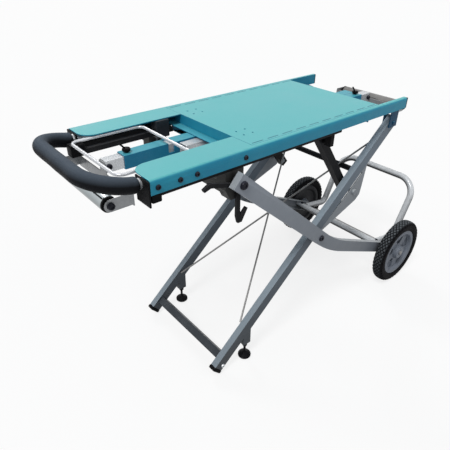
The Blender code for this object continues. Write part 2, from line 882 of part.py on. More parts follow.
def make_leg_cross_pieces():
    span = leg_inner - seat_gap
    foot = leg_point(foot_bar_distance, leg_drop)
    inner = foot_bar_size - 2 * leg_wall
    loops = [rectangle((0, 0), foot_bar_size, foot_bar_size), rectangle((0, 0), inner, inner)]
    across = (-leg_direction.x, 0, -leg_direction.y)
    tube = bar_along(loops, at(foot, -span), at(foot, span), across)
    part("foot_cross_tube", tube, "grey_paint", fold_joint)
    upper = leg_point(upper_bar_distance, upper_bar_offset)
    bar = cylinder(at(upper, -span), at(upper, span), upper_bar_radius)
    part("upper_cross_bar", bar, "black_steel", fold_joint)
    first = upper_bar_offset - upper_bar_radius - brace_radius - slide_gap
    second = first - 2 * brace_radius - slide_gap
    run = brace_low_distance - brace_top_distance
    reach = span - brace_radius * run / math.hypot(run, 2 * span)
    for name, offset, side in (("brace_rod_left", first, -1), ("brace_rod_right", second, 1)):
        top = leg_point(brace_top_distance, offset)
        low = leg_point(brace_low_distance, offset)
        wire = cylinder(at(top, side * reach), at(low, -side * reach), brace_radius, 10)
        part(name, wire, "zinc", fold_joint)


def make_strut_plate(side):
    edge = leg_low + seat_gap
    along = (pivot_e - hinge_a).dot(leg_direction)
    away = (pivot_e - hinge_a).dot(leg_normal)
    apex = strut_plate_rim * 1.6
    lower_mid = strut_plate_low - strut_plate_foot
    upper_mid = strut_plate_top + strut_plate_foot
    outer = [
        (strut_plate_top, edge), (along - apex * 0.9, away + apex * 0.55),
        (along - apex * 0.35, away + apex), (along + apex * 0.25, away + apex),
        (strut_plate_low, edge + strut_plate_rim * 0.35), (strut_plate_low, edge),
    ]
    inner = [(lower_mid, edge), (along + apex, edge + 0.010), (upper_mid, edge + 0.010), (upper_mid, edge)]
    loop = [tuple(leg_point(u, n)) for u, n in outer + inner]
    face = leg_outer - slide_gap
    plate = plate_xz([loop], side * (face - strut_plate), side * face)
    obj = part(f"{side_name(side)}_strut_plate", plate, "grey_paint", fold_joint)
    pin_end = strut_outer - strut_size - seat_gap
    head = face + bar_gap * 0.6
    fuse(obj, headed_pin(pivot_e, side, pin_end, face - 0.001, head))


# Struts with their sliders
def make_strut(side):
    joint = joint_empty(f"{side_name(side)}_strut_axis", at(pivot_e, side * strut_centre), fold_joint)
    inner = strut_size - 2 * leg_wall
    loops = [rectangle((0, 0), strut_size, strut_size), rectangle((0, 0), inner, inner)]
    direction = (pivot_d - pivot_e).normalized()
    low = pivot_e - strut_overhang * direction
    high = pivot_d + strut_overhang * direction
    y = side * strut_centre
    tube = bar_along(loops, at(low, y), at(high, y), (0, 1, 0))
    obj = part(f"{side_name(side)}_strut", tube, "black_steel", joint)
    for point in (pivot_e, pivot_d):
        hole = pivot_radius + turn_gap
        cut(obj, cylinder(at(point, y - strut_size), at(point, y + strut_size), hole))
    slider_joint = joint_empty(f"{side_name(side)}_slider_axis", at(pivot_d, y), joint)
    inner_w = track_centre - track_width / 2 + track_wall
    outer_w = track_centre + track_width / 2 - track_wall
    block = box(
        (pivot_d.x - slider_length / 2, min(side * inner_w, side * outer_w), pivot_height - slider_bottom),
        (pivot_d.x + slider_length / 2, max(side * inner_w, side * outer_w), track_bottom - slide_gap),
    )
    slider = part(f"{side_name(side)}_strut_slider", block, "plastic", slider_joint)
    fuse(slider, *runner_meshes(side, pivot_d.x, slider_length))
    pin_end = strut_outer - strut_size - seat_gap
    fuse(slider, cylinder(at(pivot_d, side * pin_end), at(pivot_d, side * track_centre), pivot_radius))


def runner_meshes(side, x, length):
    half = length / 2
    wide = track_width / 2 - track_wall - runner_margin
    neck = track_slot / 2 - runner_margin
    y = side * track_centre
    low = track_bottom + track_wall + runner_margin
    high = track_top - track_wall - runner_margin
    runner = box((x - half, y - wide, low), (x + half, y + wide, high))
    stem = box((x - half, y - neck, track_bottom - 0.004), (x + half, y + neck, high - 0.001))
    return runner, stem


# Slide carriage with the latch
def make_carriage():
    x, half = pivot_b.x, carriage_length / 2
    top = track_bottom - slide_gap
    bottom = pivot_height - carriage_bottom
    outer = bar_inner - carriage_side_gap - latch_thickness / 2
    beam_top = pivot_height - pivot_radius - turn_gap - 0.002
    beam_low = beam_top - carriage_beam_height
    beam_half = carriage_beam_length / 2
    reach = carriage_inner + 0.01
    beam = box((x - beam_half, -reach, beam_low), (x + beam_half, reach, beam_top))
    obj = part("slide_carriage", beam, "black_steel", carriage_joint)
    outline = [
        (x - half, top), (x - half, pivot_height - 0.02), (x - half * 0.45, bottom),
        (x + half * 0.6, bottom), (x + half, pivot_height - 0.02), (x + half, top),
    ]
    for side in (-1, 1):
        fuse(obj, plate_xz([outline], side * carriage_inner, side * outer))
        fuse(obj, *runner_meshes(side, x, carriage_length))
    for side in (-1, 1):
        hole_start = at(pivot_b, side * (carriage_inner - 0.01))
        hole_end = at(pivot_b, side * (outer + 0.01))
        cut(obj, cylinder(hole_start, hole_end, pivot_radius + turn_gap))


def make_latch():
    y_out = -(bar_inner - slide_gap)
    y_in = y_out + latch_thickness
    hub_ring = arc(pivot_b, latch_hub_radius, 0, 342, 19)
    bore = arc(pivot_b, pivot_radius + turn_gap, 0, 337.5, 15)
    obj = part("latch_lever", plate_xz([hub_ring, bore], y_out, y_in), "black_steel", latch_joint)
    half = latch_arm_width / 2
    start = pivot_b.x - latch_hub_radius * 0.8
    tip = pivot_b.x - latch_reach
    z = pivot_height - 0.004
    arm = [
        (start, z + half), (start, z - half), (tip + 0.016, z - half), (tip, z - half - 0.010),
        (tip - 0.006, z - half - 0.004), (tip + 0.010, z + half),
    ]
    fuse(obj, plate_xz([arm], y_out, y_in))
    stem = pivot_b + Vector((0.004, -latch_hub_radius * 0.8))
    hook = [
        (-half, 0), (-half, 0.02 - hook_drop), (0, -hook_drop), (hook_return * 0.5, -hook_drop),
        (hook_return + half, 0.034 - hook_drop), (hook_return, 0.038 - hook_drop),
        (half * 1.2, 0.018 - hook_drop), (half, 0),
    ]
    fuse(obj, plate_xz([[stem + Vector(place) for place in hook]], y_out, y_in))


# Wheel frame
def bar_outline(inset):
    half = bar_width / 2 - inset
    tail = tail_width / 2 - inset
    start = pivot_b - (bar_end - inset) * bar_direction
    mitre = (bar_normal + tail_normal).normalized()
    top_corner = bend + mitre * (half + tail) / 2
    low_corner = bend - mitre * (half + tail) / 2
    run = bar_bend_run
    points = [start - half * bar_normal, start + half * bar_normal]
    points += bent_edge(bend - run * bar_direction + half * bar_normal, top_corner,
                        bend + run * tail_direction + tail * tail_normal)
    turn = math.degrees(math.atan2(tail_normal.y, tail_normal.x))
    points += [Vector(place) for place in arc(hub, tail, turn, turn - 180, 10)]
    points += bent_edge(bend + run * tail_direction - tail * tail_normal, low_corner,
                        bend - run * bar_direction - half * bar_normal)
    return [tuple(point) for point in points]


def make_side_bar(side):
    loops = [bar_outline(0)]
    for point, radius in ((pivot_c, pivot_radius), (hub, axle_radius)):
        loops.append(arc(point, radius + seat_gap, 0, 337.5, 15))
    plate = plate_xz(loops, side * bar_inner, side * bar_outer)
    obj = part(f"{side_name(side)}_side_bar", plate, "grey_paint", wheel_frame_joint)
    pocket_out = bar_outer - bar_wall
    cut(obj, plate_xz([bar_outline(bar_wall)], side * (bar_inner - bar_wall), side * pocket_out))
    pin_in = carriage_inner + 0.004
    fuse(obj, headed_pin(pivot_b, side, pin_in, bar_outer - 0.001, bar_outer + 0.005))


def make_pivot_bolt(side):
    web = bar_outer - bar_wall
    head = pivot_radius * 1.7
    thin = pivot_radius
    shoulder = pivot_radius * 1.6
    nut_in = leg_inner - 0.0065
    heights = [
        (0, bar_outer + 0.006), (head * 0.8, bar_outer + 0.006), (head, bar_outer + 0.004),
        (head, bar_outer + seat_gap), (thin, bar_outer + seat_gap), (thin, web - seat_gap),
        (shoulder, web - seat_gap), (shoulder, leg_outer + seat_gap), (thin, leg_outer + seat_gap),
        (thin, leg_inner - seat_gap), (head, leg_inner - seat_gap), (head, nut_in), (0, nut_in),
    ]
    bolt = turned(heights, at(pivot_c, 0), (0, side, 0), 12)
    part(f"{side_name(side)}_pivot_bolt", bolt, "black_steel", wheel_frame_joint)


def make_frame_tubes():
    end = bar_outer - bar_wall - seat_gap
    tube = cylinder(at(frame_tube, -end), at(frame_tube, end), frame_tube_radius)
    part("frame_cross_tube", tube, "zinc", wheel_frame_joint)
    knee = Vector((hub.x + hoop_knee_x, hoop_knee_height))
    start = frame_tube + (frame_tube_radius + seat_gap) * (knee - frame_tube).normalized()
    top = knee + hoop_rise * Vector((math.cos(hoop_angle), math.sin(hoop_angle)))
    y = hoop_spacing / 2
    corners = [at(start, -y), at(knee, -y), at(top, -y), at(top, y), at(knee, y), at(start, y)]
    hoop = rod(rounded_path(corners, hoop_bend_radius, 5), frame_tube_radius)
    part("frame_hoop", hoop, "zinc", wheel_frame_joint)
    axle_end = wheel_centre + tyre_width / 2 + 0.004
    part("axle", cylinder(at(hub, -axle_end), at(hub, axle_end), axle_radius), "zinc", wheel_frame_joint)


def make_wheel(side):
    y = side * wheel_centre
    joint = joint_empty(f"{side_name(side)}_wheel_axis", at(hub, y), wheel_frame_joint)
    half = tyre_width / 2
    bead = half - 0.004
    bore = axle_radius + turn_gap
    lip = rim_radius - 0.014
    web = 0.006
    rim = [
        (bore, half), (hub_radius, half), (hub_radius + 0.004, web), (lip - 0.004, web),
        (lip, bead), (rim_radius, bead), (rim_radius, -bead), (lip, -bead),
        (lip - 0.004, -web), (hub_radius + 0.004, -web), (hub_radius, -half), (bore, -half),
    ]
    body = turned(rim, at(hub, y), (0, 1, 0), wheel_facets, True)
    wheel = part(f"{side_name(side)}_wheel_rim", body, "rim_plastic", joint)
    for i in range(spoke_count):
        middle = 360 / spoke_count * i + 90
        spread = 360 / spoke_count * 0.30
        pocket = arc(hub, lip - 0.007, middle - spread, middle + spread, 5)
        pocket += arc(hub, hub_radius + 0.010, middle + spread * 0.55, middle - spread * 0.55, 3)
        cut(wheel, plate_xz([pocket], y - half, y + half))
    inner = rim_radius + seat_gap
    groove = 0.003
    profile = [
        (inner, bead), (inner + 0.012, half), (wheel_radius - 0.008, half - 0.002),
        (wheel_radius - 0.0015, half - 0.008), (wheel_radius - groove, 0.009), (wheel_radius, 0.0055),
    ]
    profile += [(radius, -height) for radius, height in reversed(profile)]
    body = turned(profile, at(hub, y), (0, 1, 0), wheel_facets, True)
    part(f"{side_name(side)}_tyre", body, "rubber", joint)


for side in (-1, 1):
    make_rail(side)
    make_track(side)
    make_end_cap(side)
    make_bumper(side)
    make_rail_plug(side)
    make_hinge_bracket(side)
make_deck()
make_cross_member("left_cross_member", deck_left, -1)
make_cross_member("right_cross_member", deck_right - sheet, 1)
make_handle()
make_guides()
make_extension(
    "left", guide_offset_y, table_left + left_extension_end, -1,
    left_extension_length, left_roller_length, left_roller_offset, left_roller_drop,
)
make_extension(
    "right", second_guide_y, table_left + right_extension_end, 1,
    right_extension_length, right_roller_length, right_roller_offset, right_roller_drop,
)
make_knob("left", table_left + guide_left + knob_inset, guide_offset_y, -1)
make_knob("right", table_left + guide_right - knob_inset, second_guide_y, 1)
make_release()
for side in (-1, 1):
    make_leg(side)
    make_strut_plate(side)
    make_strut(side)
make_leg_cross_pieces()
make_carriage()
make_latch()
for side in (-1, 1):
    make_side_bar(side)
    make_pivot_bolt(side)
    make_wheel(side)
make_frame_tubes()
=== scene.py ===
import json
import math

import bmesh
import bpy
import numpy as np
from mathutils import Matrix, Vector

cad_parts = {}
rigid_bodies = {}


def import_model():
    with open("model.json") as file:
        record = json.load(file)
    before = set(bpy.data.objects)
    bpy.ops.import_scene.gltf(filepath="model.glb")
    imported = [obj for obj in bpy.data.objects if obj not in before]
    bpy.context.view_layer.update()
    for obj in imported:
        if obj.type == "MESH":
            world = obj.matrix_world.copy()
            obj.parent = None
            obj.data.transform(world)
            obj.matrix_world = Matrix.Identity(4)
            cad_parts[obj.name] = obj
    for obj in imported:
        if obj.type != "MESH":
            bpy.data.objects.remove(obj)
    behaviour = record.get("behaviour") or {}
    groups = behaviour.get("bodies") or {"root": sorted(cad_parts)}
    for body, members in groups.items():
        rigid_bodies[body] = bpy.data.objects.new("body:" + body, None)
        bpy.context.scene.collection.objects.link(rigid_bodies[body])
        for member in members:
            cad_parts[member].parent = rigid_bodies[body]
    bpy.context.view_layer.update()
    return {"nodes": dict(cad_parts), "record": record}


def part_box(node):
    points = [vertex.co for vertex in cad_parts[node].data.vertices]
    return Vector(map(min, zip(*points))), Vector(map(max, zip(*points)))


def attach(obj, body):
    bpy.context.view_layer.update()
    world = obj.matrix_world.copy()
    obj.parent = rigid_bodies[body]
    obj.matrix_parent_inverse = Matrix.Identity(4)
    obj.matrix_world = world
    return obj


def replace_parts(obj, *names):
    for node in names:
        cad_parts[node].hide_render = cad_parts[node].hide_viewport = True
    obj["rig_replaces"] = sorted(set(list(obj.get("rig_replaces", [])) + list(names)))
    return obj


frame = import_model()
nodes = frame["nodes"]
slotOf = {row["node"]: row["material_slot"] for row in frame["record"]["subparts"]}
bodyGroups = frame["record"]["behaviour"]["bodies"]
bodyOf = {node: body for body, group in bodyGroups.items() for node in group}
scene = bpy.context.scene
scene.view_settings.view_transform = "Standard"
print("frame loaded:", len(nodes), "nodes")


def addObject(name, data):
    item = bpy.data.objects.new(name, data)
    scene.collection.objects.link(item)
    return item


def lookFrom(azimuth, elevation):
    # unit vector to a viewer: the azimuth turns it from -y towards +x, the elevation lifts it
    a, e = math.radians(azimuth), math.radians(elevation)
    return Vector((math.sin(a) * math.cos(e), -math.cos(a) * math.cos(e), math.sin(e)))


# Camera at the viewing angle of the picture
cameraView = dict(
    place=(-0.9456, -0.9036, 1.1307),
    lens=35.75,
    sensor=36,
    azimuth=-40.609,
    elevation=31.715,
    roll=0.857,
    middle=(227.418, 222.163),
    pixels=450,
    nearest=0.05,
)


def addCamera(view):
    azimuth, roll = math.radians(view["azimuth"]), math.radians(view["roll"])
    back = lookFrom(view["azimuth"], view["elevation"])
    flat = Vector((math.cos(azimuth), math.sin(azimuth), 0))
    side = math.cos(roll) * flat + math.sin(roll) * back.cross(flat)
    turn = Matrix([tuple(row) for row in zip(side, back.cross(side), back)])
    data = bpy.data.cameras.new("viewCamera")
    data.lens = view["lens"]
    data.sensor_width = view["sensor"]
    data.clip_start = view["nearest"]
    half = view["pixels"] / 2
    data.shift_x = (half - view["middle"][0]) / view["pixels"]
    data.shift_y = (view["middle"][1] - half) / view["pixels"]
    scene.camera = addObject("viewCamera", data)
    scene.camera.matrix_world = Matrix.Translation(view["place"]) @ turn.to_4x4()


addCamera(cameraView)
print("camera placed")


# Node helpers
def link(tree, source, target):
    tree.links.new(source, target)


def feed(tree, socket, value):
    # an output is linked to the socket; a number, a vector or a colour is set on it
    if isinstance(value, bpy.types.NodeSocket):
        link(tree, value, socket)
    elif value is not None:
        socket.default_value = (*value, 1) if socket.type == "RGBA" else value


def addNode(tree, kind, **values):
    # each value goes to the input of its name, or else to the node's own setting
    node = tree.nodes.new("ShaderNode" + kind)
    for key, value in values.items():
        if key in node.inputs:
            feed(tree, node.inputs[key], value)
        else:
            setattr(node, key, value)
    return node


def mathNode(tree, operation, first, second=None, clamp=False):
    node = addNode(tree, "Math", operation=operation, use_clamp=clamp)
    for socket, value in zip(node.inputs, (first, second)):
        feed(tree, socket, value)
    return node.outputs[0]


def product(tree, first, second, clamp=False):
    return mathNode(tree, "MULTIPLY", first, second, clamp)


def rangeNode(tree, value, low, high, toLow=0.0, toHigh=1.0):
    limits = {"From Min": low, "From Max": high, "To Min": toLow, "To Max": toHigh}
    return addNode(tree, "MapRange", clamp=True, Value=value, **limits).outputs["Result"]


def mixColour(tree, factor, first, second, blend="MIX"):
    node = addNode(tree, "Mix", data_type="RGBA", blend_type=blend)
    feed(tree, node.inputs["Factor"], factor)
    feed(tree, node.inputs[6], first)
    feed(tree, node.inputs[7], second)
    return node.outputs[2]


def noiseNode(tree, vector, scale, detail):
    return addNode(tree, "TexNoise", Vector=vector, Scale=scale, Detail=detail).outputs["Fac"]


def newGroup(name, output, **values):
    # a group with a Vector and some numbers as inputs, and one value that it puts out
    group = bpy.data.node_groups.new(name, "ShaderNodeTree")
    group.interface.new_socket(name="Vector", in_out="INPUT", socket_type="NodeSocketVector")
    for label, value in values.items():
        socket = group.interface.new_socket(name=label, in_out="INPUT", socket_type="NodeSocketFloat")
        socket.default_value = value
    group.interface.new_socket(name=output, in_out="OUTPUT", socket_type="NodeSocketFloat")
    source, target = (group.nodes.new(kind) for kind in ("NodeGroupInput", "NodeGroupOutput"))
    return group, source.outputs, target.inputs[output]


# Light and stage
studio = dict(
    ambient=0.38,
    ambientColour=(0.96, 0.98, 1.0),
    floorColour=(0.9, 0.9, 0.9),
    floorBounce=(0.42, 0.43, 0.45),  # what the floor sends back onto the stand
    floorGlow=0.8,
    floorReach=40.0,
    floorDrop=0.0006,
    suns=(  # name, azimuth, elevation, strength, width
        ("keySun", -72, 56, 1.7, 16),
        ("fillSun", 25, 35, 0.28, 40),
        ("backSun", 165, 38, 0.5, 16),
    ),
)


def seenRay(tree):
    # 1 for rays that the eye or a mirror sends out, 0 for those that only carry light
    path = addNode(tree, "LightPath")
    direct = mathNode(tree, "ADD", path.outputs["Is Camera Ray"], path.outputs["Is Glossy Ray"])
    return mathNode(tree, "ADD", direct, path.outputs["Is Transmission Ray"], True)


def mixShaders(tree, output, factor, first, second):
    mix = addNode(tree, "MixShader")
    for socket, source in zip(mix.inputs, (factor, first.outputs[0], second.outputs[0])):
        link(tree, source, socket)
    link(tree, mix.outputs[0], addNode(tree, output).inputs[0])


def addWorld(stage):
    world = bpy.data.worlds.new("studioWorld")
    world.use_nodes = True
    tree = world.node_tree
    tree.nodes.clear()
    dim = addNode(tree, "Background", Color=stage["ambientColour"], Strength=stage["ambient"])
    white = addNode(tree, "Background", Color=(1, 1, 1))
    mixShaders(tree, "OutputWorld", seenRay(tree), dim, white)
    scene.world = world


def addSuns(stage):
    for name, azimuth, elevation, strength, width in stage["suns"]:
        data = bpy.data.lights.new(name, "SUN")
        data.energy = strength
        data.angle = math.radians(width)
        lamp = addObject(name, data)
        lamp.rotation_euler = lookFrom(azimuth, elevation).to_track_quat("Z", "Y").to_euler()


def addFloor(stage):
    reach, level = stage["floorReach"], -stage["floorDrop"]
    corners = [(x * reach, y * reach, level) for x, y in ((-1, -1), (1, -1), (1, 1), (-1, 1))]
    mesh = bpy.data.meshes.new("studioFloor")
    mesh.from_pydata(corners, [], [(0, 1, 2, 3)])
    floor = addObject("studioFloor", mesh)
    material = bpy.data.materials.new("floorPaper")
    material.use_nodes = True
    tree = material.node_tree
    tree.nodes.clear()
    shown = mixColour(tree, seenRay(tree), stage["floorBounce"], stage["floorColour"])
    paper = addNode(tree, "BsdfDiffuse", Color=shown)
    glow = addNode(tree, "Emission")
    share = product(tree, seenRay(tree), stage["floorGlow"])
    mixShaders(tree, "OutputMaterial", share, paper, glow)
    mesh.materials.append(material)


addWorld(studio)
addSuns(studio)
addFloor(studio)
print("stage and lamps placed")

# Shared effects
toneEffect = dict(detail=(4, 6), finer=7.3, share=(0.65, 0.35), spread=(0.32, 0.68))
filmEffect = dict(detail=(2, 3), finer=4.5)
wearEffect = dict(samples=4, edge=(0.97, 0.8), noise=(95.0, 8), broken=(0.48, 0.66))
scratchEffect = dict(
    runs=((0.5, (1.0, 14.0, 4.0)), (1.9, (16.0, 1.0, 5.0)), (2.7, (1.0, 20.0, 9.0))),  # turn and stretch
    lean=(0.2, 0.1), detail=3, width=0.012, patch=(11.0, 2), spread=(0.5, 0.7),
)


def makeToneGroup(effect):
    # two noises of different size, added by their shares and spread to one slow value between 0 and 1
    group, given, tone = newGroup("slowTone", "Tone", Scale=8.0)
    scales = (given["Scale"], product(group, given["Scale"], effect["finer"]))
    parts = [
        product(group, noiseNode(group, given["Vector"], scale, detail), share)
        for scale, detail, share in zip(scales, effect["detail"], effect["share"])
    ]
    link(group, rangeNode(group, mathNode(group, "ADD", *parts), *effect["spread"]), tone)
    return group


def makeFilmGroup(effect):
    # paint film: a rolling orange peel with a finer grain on it
    group, given, height = newGroup("paintFilm", "Height", Scale=300.0, Grain=0.3)
    finer = product(group, given["Scale"], effect["finer"])
    peel = noiseNode(group, given["Vector"], given["Scale"], effect["detail"][0])
    grain = noiseNode(group, given["Vector"], finer, effect["detail"][1])
    link(group, mathNode(group, "ADD", peel, product(group, grain, given["Grain"])), height)
    return group


def makeWearGroup(effect):
    # bare edges: where a rounded normal leaves the face's own normal, broken up by noise
    group, given, mask = newGroup("edgeWear", "Mask", Width=0.002, Amount=0.5)
    soft = addNode(group, "Bevel", samples=effect["samples"], Radius=given["Width"])
    plain = addNode(group, "NewGeometry")
    dot = addNode(group, "VectorMath", operation="DOT_PRODUCT")
    for socket, source in zip(dot.inputs, (soft, plain)):
        link(group, source.outputs["Normal"], socket)
    edge = rangeNode(group, dot.outputs["Value"], *effect["edge"])
    broken = rangeNode(group, noiseNode(group, given["Vector"], *effect["noise"]), *effect["broken"])
    worn = product(group, edge, broken)
    link(group, product(group, worn, given["Amount"], True), mask)
    return group


def makeScratchGroup(effect):
    # short fine scratches: thin bands of stretched noises, shown where a broad noise is high
    group, given, mask = newGroup("fineScratches", "Mask", Scale=60.0, Amount=0.5)
    lines = 0.0
    for turn, stretch in effect["runs"]:
        turned = (effect["lean"][0] * turn, effect["lean"][1], turn)
        place = addNode(group, "Mapping", Vector=given["Vector"], Rotation=turned, Scale=stretch)
        noise = noiseNode(group, place.outputs["Vector"], given["Scale"], effect["detail"])
        away = mathNode(group, "ABSOLUTE", mathNode(group, "SUBTRACT", noise, 0.5))
        lines = mathNode(group, "MAXIMUM", rangeNode(group, away, effect["width"], 0.0), lines)
    here = rangeNode(group, noiseNode(group, given["Vector"], *effect["patch"]), *effect["spread"])
    shown = product(group, lines, here)
    link(group, product(group, shown, given["Amount"], True), mask)
    return group


toneGroup = makeToneGroup(toneEffect)
filmGroup = makeFilmGroup(filmEffect)
wearGroup = makeWearGroup(wearEffect)
scratchGroup = makeScratchGroup(scratchEffect)


def placeGroup(tree, group, vector, **values):
    return addNode(tree, "Group", node_tree=group, Vector=vector, **values).outputs[0]


# Finishes: film is scale and depth, wear and scratches are size and amount, rise and turn are where a face
# counts as looking up for a painted top light or underside shade, and the painted shade towards the floor
# is from, to, and the share of the colour left on the sides and on top
paintSkin = dict(
    grain=0.3, gloss=0.22, rise=(0.55, 0.9), cloud=0.12,
    scratchShows=0.6, scratchRough=0.12, wornDepth=0.8,
)
zincSkin = dict(
    toneScale=16.0, film=(650.0, 0.00005), grain=0.3, gloss=0.4,
    wear=(0.0012, 0.3), bare=(0.66, 0.67, 0.68), scratches=(90.0, 0.12), scratchShows=0.5,
    scratchRough=0.15, scored=(0.2, 0.21, 0.22),
)
plasticSkin = dict(
    toneScale=26.0, film=(900.0, 0.00022), grain=0.8, wear=(0.0014, 0.35),
    rough=(0.4, 0.56),
)
rubberSkin = dict(toneScale=22.0, film=(520.0, 0.0004), grain=0.6, gloss=0.04)
# the colours for faces that look up are a painted top light, the light from above painted into the paints
# and the foam
looks = {
    "teal_paint": dict(
        paintSkin, toneScale=6.0, rough=(0.34, 0.46), film=(260.0, 0.00025),
        wear=(0.002, 0.3), scratches=(60.0, 0.25), bare=(0.36, 0.5, 0.55),
        colours=((0.014, 0.235, 0.385), (0.022, 0.285, 0.41)), paintedTopLight=(0.12, 0.5, 0.525),
    ),
    # the same teal paint as above, drawn a little darker: a painted shade
    "deep_teal_paint": dict(
        paintSkin, toneScale=9.0, rough=(0.38, 0.5), film=(280.0, 0.00025),
        wear=(0.0016, 0.3), scratches=(60.0, 0.25), bare=(0.3, 0.4, 0.46),
        colours=((0.014, 0.19, 0.34), (0.018, 0.23, 0.38)), paintedTopLight=(0.07, 0.38, 0.47),
    ),
    "grey_paint": dict(
        paintSkin, toneScale=9.0, rough=(0.36, 0.48), film=(320.0, 0.00022),
        wear=(0.0018, 0.4), scratches=(60.0, 0.3), bare=(0.48, 0.5, 0.52), rise=(0.35, 0.75),
        colours=((0.142, 0.18, 0.222), (0.164, 0.204, 0.246)), paintedTopLight=(0.3, 0.36, 0.41),
        lowShade=(0.04, 0.55, 0.2, 0.7),
    ),
    "black_paint": dict(
        paintSkin, toneScale=14.0, rough=(0.46, 0.62), film=(420.0, 0.00018), gloss=0.05,
        wear=(0.0014, 0.4), scratches=(60.0, 0.15), bare=(0.12, 0.12, 0.13),
        colours=((0.013, 0.013, 0.014), (0.024, 0.024, 0.026)), paintedTopLight=(0.046, 0.046, 0.049),
    ),
    "zinc_steel": dict(
        zincSkin, rough=(0.32, 0.22), metal=0.45,
        colours=((0.57, 0.59, 0.61), (0.66, 0.68, 0.7)),
    ),
    "black_plastic": dict(
        plasticSkin, bare=(0.035, 0.035, 0.038), gloss=0.05,
        colours=((0.004, 0.004, 0.005), (0.009, 0.009, 0.01)),
    ),
    "rim_plastic": dict(
        plasticSkin, bare=(0.34, 0.36, 0.38), gloss=0.18,
        colours=((0.14, 0.16, 0.195), (0.185, 0.205, 0.24)),
    ),
    "soft_rubber": dict(
        rubberSkin, rough=(0.58, 0.8),
        colours=((0.005, 0.005, 0.006), (0.01105, 0.01105, 0.0115)),
    ),
    "tyre_rubber": dict(
        rubberSkin, rough=(0.56, 0.78),
        colours=((0.003, 0.003, 0.004), (0.00685, 0.00685, 0.00785)),
        knob=(0.105, 0.115, 0.125), turn=(-0.45, 0.75),  # lighter knob tops where they look up: dust, and a painted highlight
    ),
    "foam_grip": dict(
        toneScale=14.0, film=(240.0, 0.0005), grain=0.3, rough=(0.55, 0.72),
        colours=((0.004, 0.004, 0.005), (0.006, 0.007, 0.009)), paintedTopLight=(0.075, 0.095, 0.122),
        rise=(0.2, 1.0), cloud=0.0, cell=1500.0, cellEdge=0.55, cellDepth=0.5,
        gloss=0.08, sheen=0.02, sheenRoughness=0.45, sheenTint=(0.55, 0.62, 0.78),
    ),
}
variants = {  # the slot whose finish each one changes, and what differs
    "sideBarPaint": ("grey_paint", dict(
        colours=((0.27, 0.3, 0.34), (0.315, 0.342, 0.382)), paintedTopLight=(0.38, 0.41, 0.43),
        lowShade=(0.05, 0.62, 0.45, 0.8),
    )),
    "plateBarPaint": ("grey_paint", dict(
        colours=((0.255, 0.28, 0.305), (0.305, 0.325, 0.35)), paintedTopLight=(0.4, 0.425, 0.44),
        lowShade=(0.05, 0.62, 0.72, 0.85),
    )),
    "footTubePaint": ("grey_paint", dict(
        colours=((0.02, 0.023, 0.028), (0.029, 0.033, 0.039)), paintedTopLight=(0.034, 0.04, 0.048),
        gloss=0.2, lowShade=(0.0, 0.1, 0.9, 0.9),
    )),
    # a darker copy of the teal paint: a painted shade on the hinge brackets and in the deck's slots
    "shadedTealPaint": ("deep_teal_paint", dict(
        colours=((0.007, 0.055, 0.115), (0.01, 0.07, 0.138)), paintedTopLight=(0.036, 0.19, 0.27),
        gloss=0.12,
    )),
    "carriagePaint": ("black_paint", dict(
        colours=((0.042, 0.042, 0.04), (0.082, 0.081, 0.076)), paintedTopLight=(0.12, 0.118, 0.112),
        gloss=0.12,
    )),
    "boltPaint": ("black_paint", dict(
        colours=((0.008, 0.009, 0.017), (0.014, 0.015, 0.024)), paintedTopLight=(0.026, 0.028, 0.04),
        gloss=0.12, rough=(0.28, 0.42),
    )),
    # the tubes, rollers and rods below take a dark colour on their undersides: a painted shade
    "tubeZinc": ("zinc_steel", dict(
        colours=((0.6, 0.62, 0.64), (0.7, 0.72, 0.74)), rough=(0.3, 0.2), metal=0.1,
        under=(0.03, 0.032, 0.035), turn=(-0.18, 0.46), gloss=0.2,
    )),
    "rollerZinc": ("zinc_steel", dict(
        colours=((0.5, 0.55, 0.57), (0.62, 0.67, 0.69)), rough=(0.14, 0.07), metal=0.92,
        under=(0.1, 0.117, 0.122), turn=(-0.45, 0.92),
    )),
    "wornRollerZinc": ("zinc_steel", dict(
        colours=((0.17, 0.168, 0.165), (0.26, 0.255, 0.25)), rough=(0.26, 0.16), metal=0.5,
        under=(0.1, 0.1, 0.1), turn=(-0.6, 0.3),
    )),
    "bracketZinc": ("zinc_steel", dict(
        colours=((0.24, 0.25, 0.26), (0.34, 0.35, 0.36)), rough=(0.34, 0.22), metal=0.4,
    )),
    "rodZinc": ("zinc_steel", dict(
        colours=((0.22, 0.218, 0.215), (0.32, 0.315, 0.31)), rough=(0.4, 0.26), metal=0.35,
        under=(0.06, 0.06, 0.06), turn=(-0.5, 0.5),
    )),
    "wireZinc": ("zinc_steel", dict(
        colours=((0.66, 0.68, 0.71), (0.78, 0.79, 0.82)), rough=(0.32, 0.2), metal=0.3,
    )),
    # near-black backs of the wheels: a painted shade of their hollow insides
    "shadedRimPlastic": ("rim_plastic", dict(
        colours=((0.012, 0.013, 0.015), (0.022, 0.023, 0.027)), bare=(0.06, 0.06, 0.065),
        gloss=0.12,
    )),
}
looks.update({name: {**looks[slot], **changes} for name, (slot, changes) in variants.items()})
shaderSockets = {
    "gloss": "Specular IOR Level", "metal": "Metallic", "sheen": "Sheen Weight", "sheenTint": "Sheen Tint",
    "sheenRoughness": "Sheen Roughness",
}


def upPart(tree, vector):
    return addNode(tree, "SeparateXYZ", Vector=vector).outputs["Z"]


def paintedLightMask(tree, low, high):
    # 1 on faces that look up and 0 on the sides, for painted light: a lighter top, a painted shade on
    # undersides and a painted highlight on tread tops
    return rangeNode(tree, upPart(tree, addNode(tree, "NewGeometry").outputs["Normal"]), low, high)


def paintedLowShade(tree, place, colour, low, high, share):
    # painted shade: the colour falls to the given share of itself towards the floor
    shadeFactor = rangeNode(tree, upPart(tree, place), low, high, share, 1.0)
    return mixColour(tree, 1.0, colour, shadeFactor, "MULTIPLY")


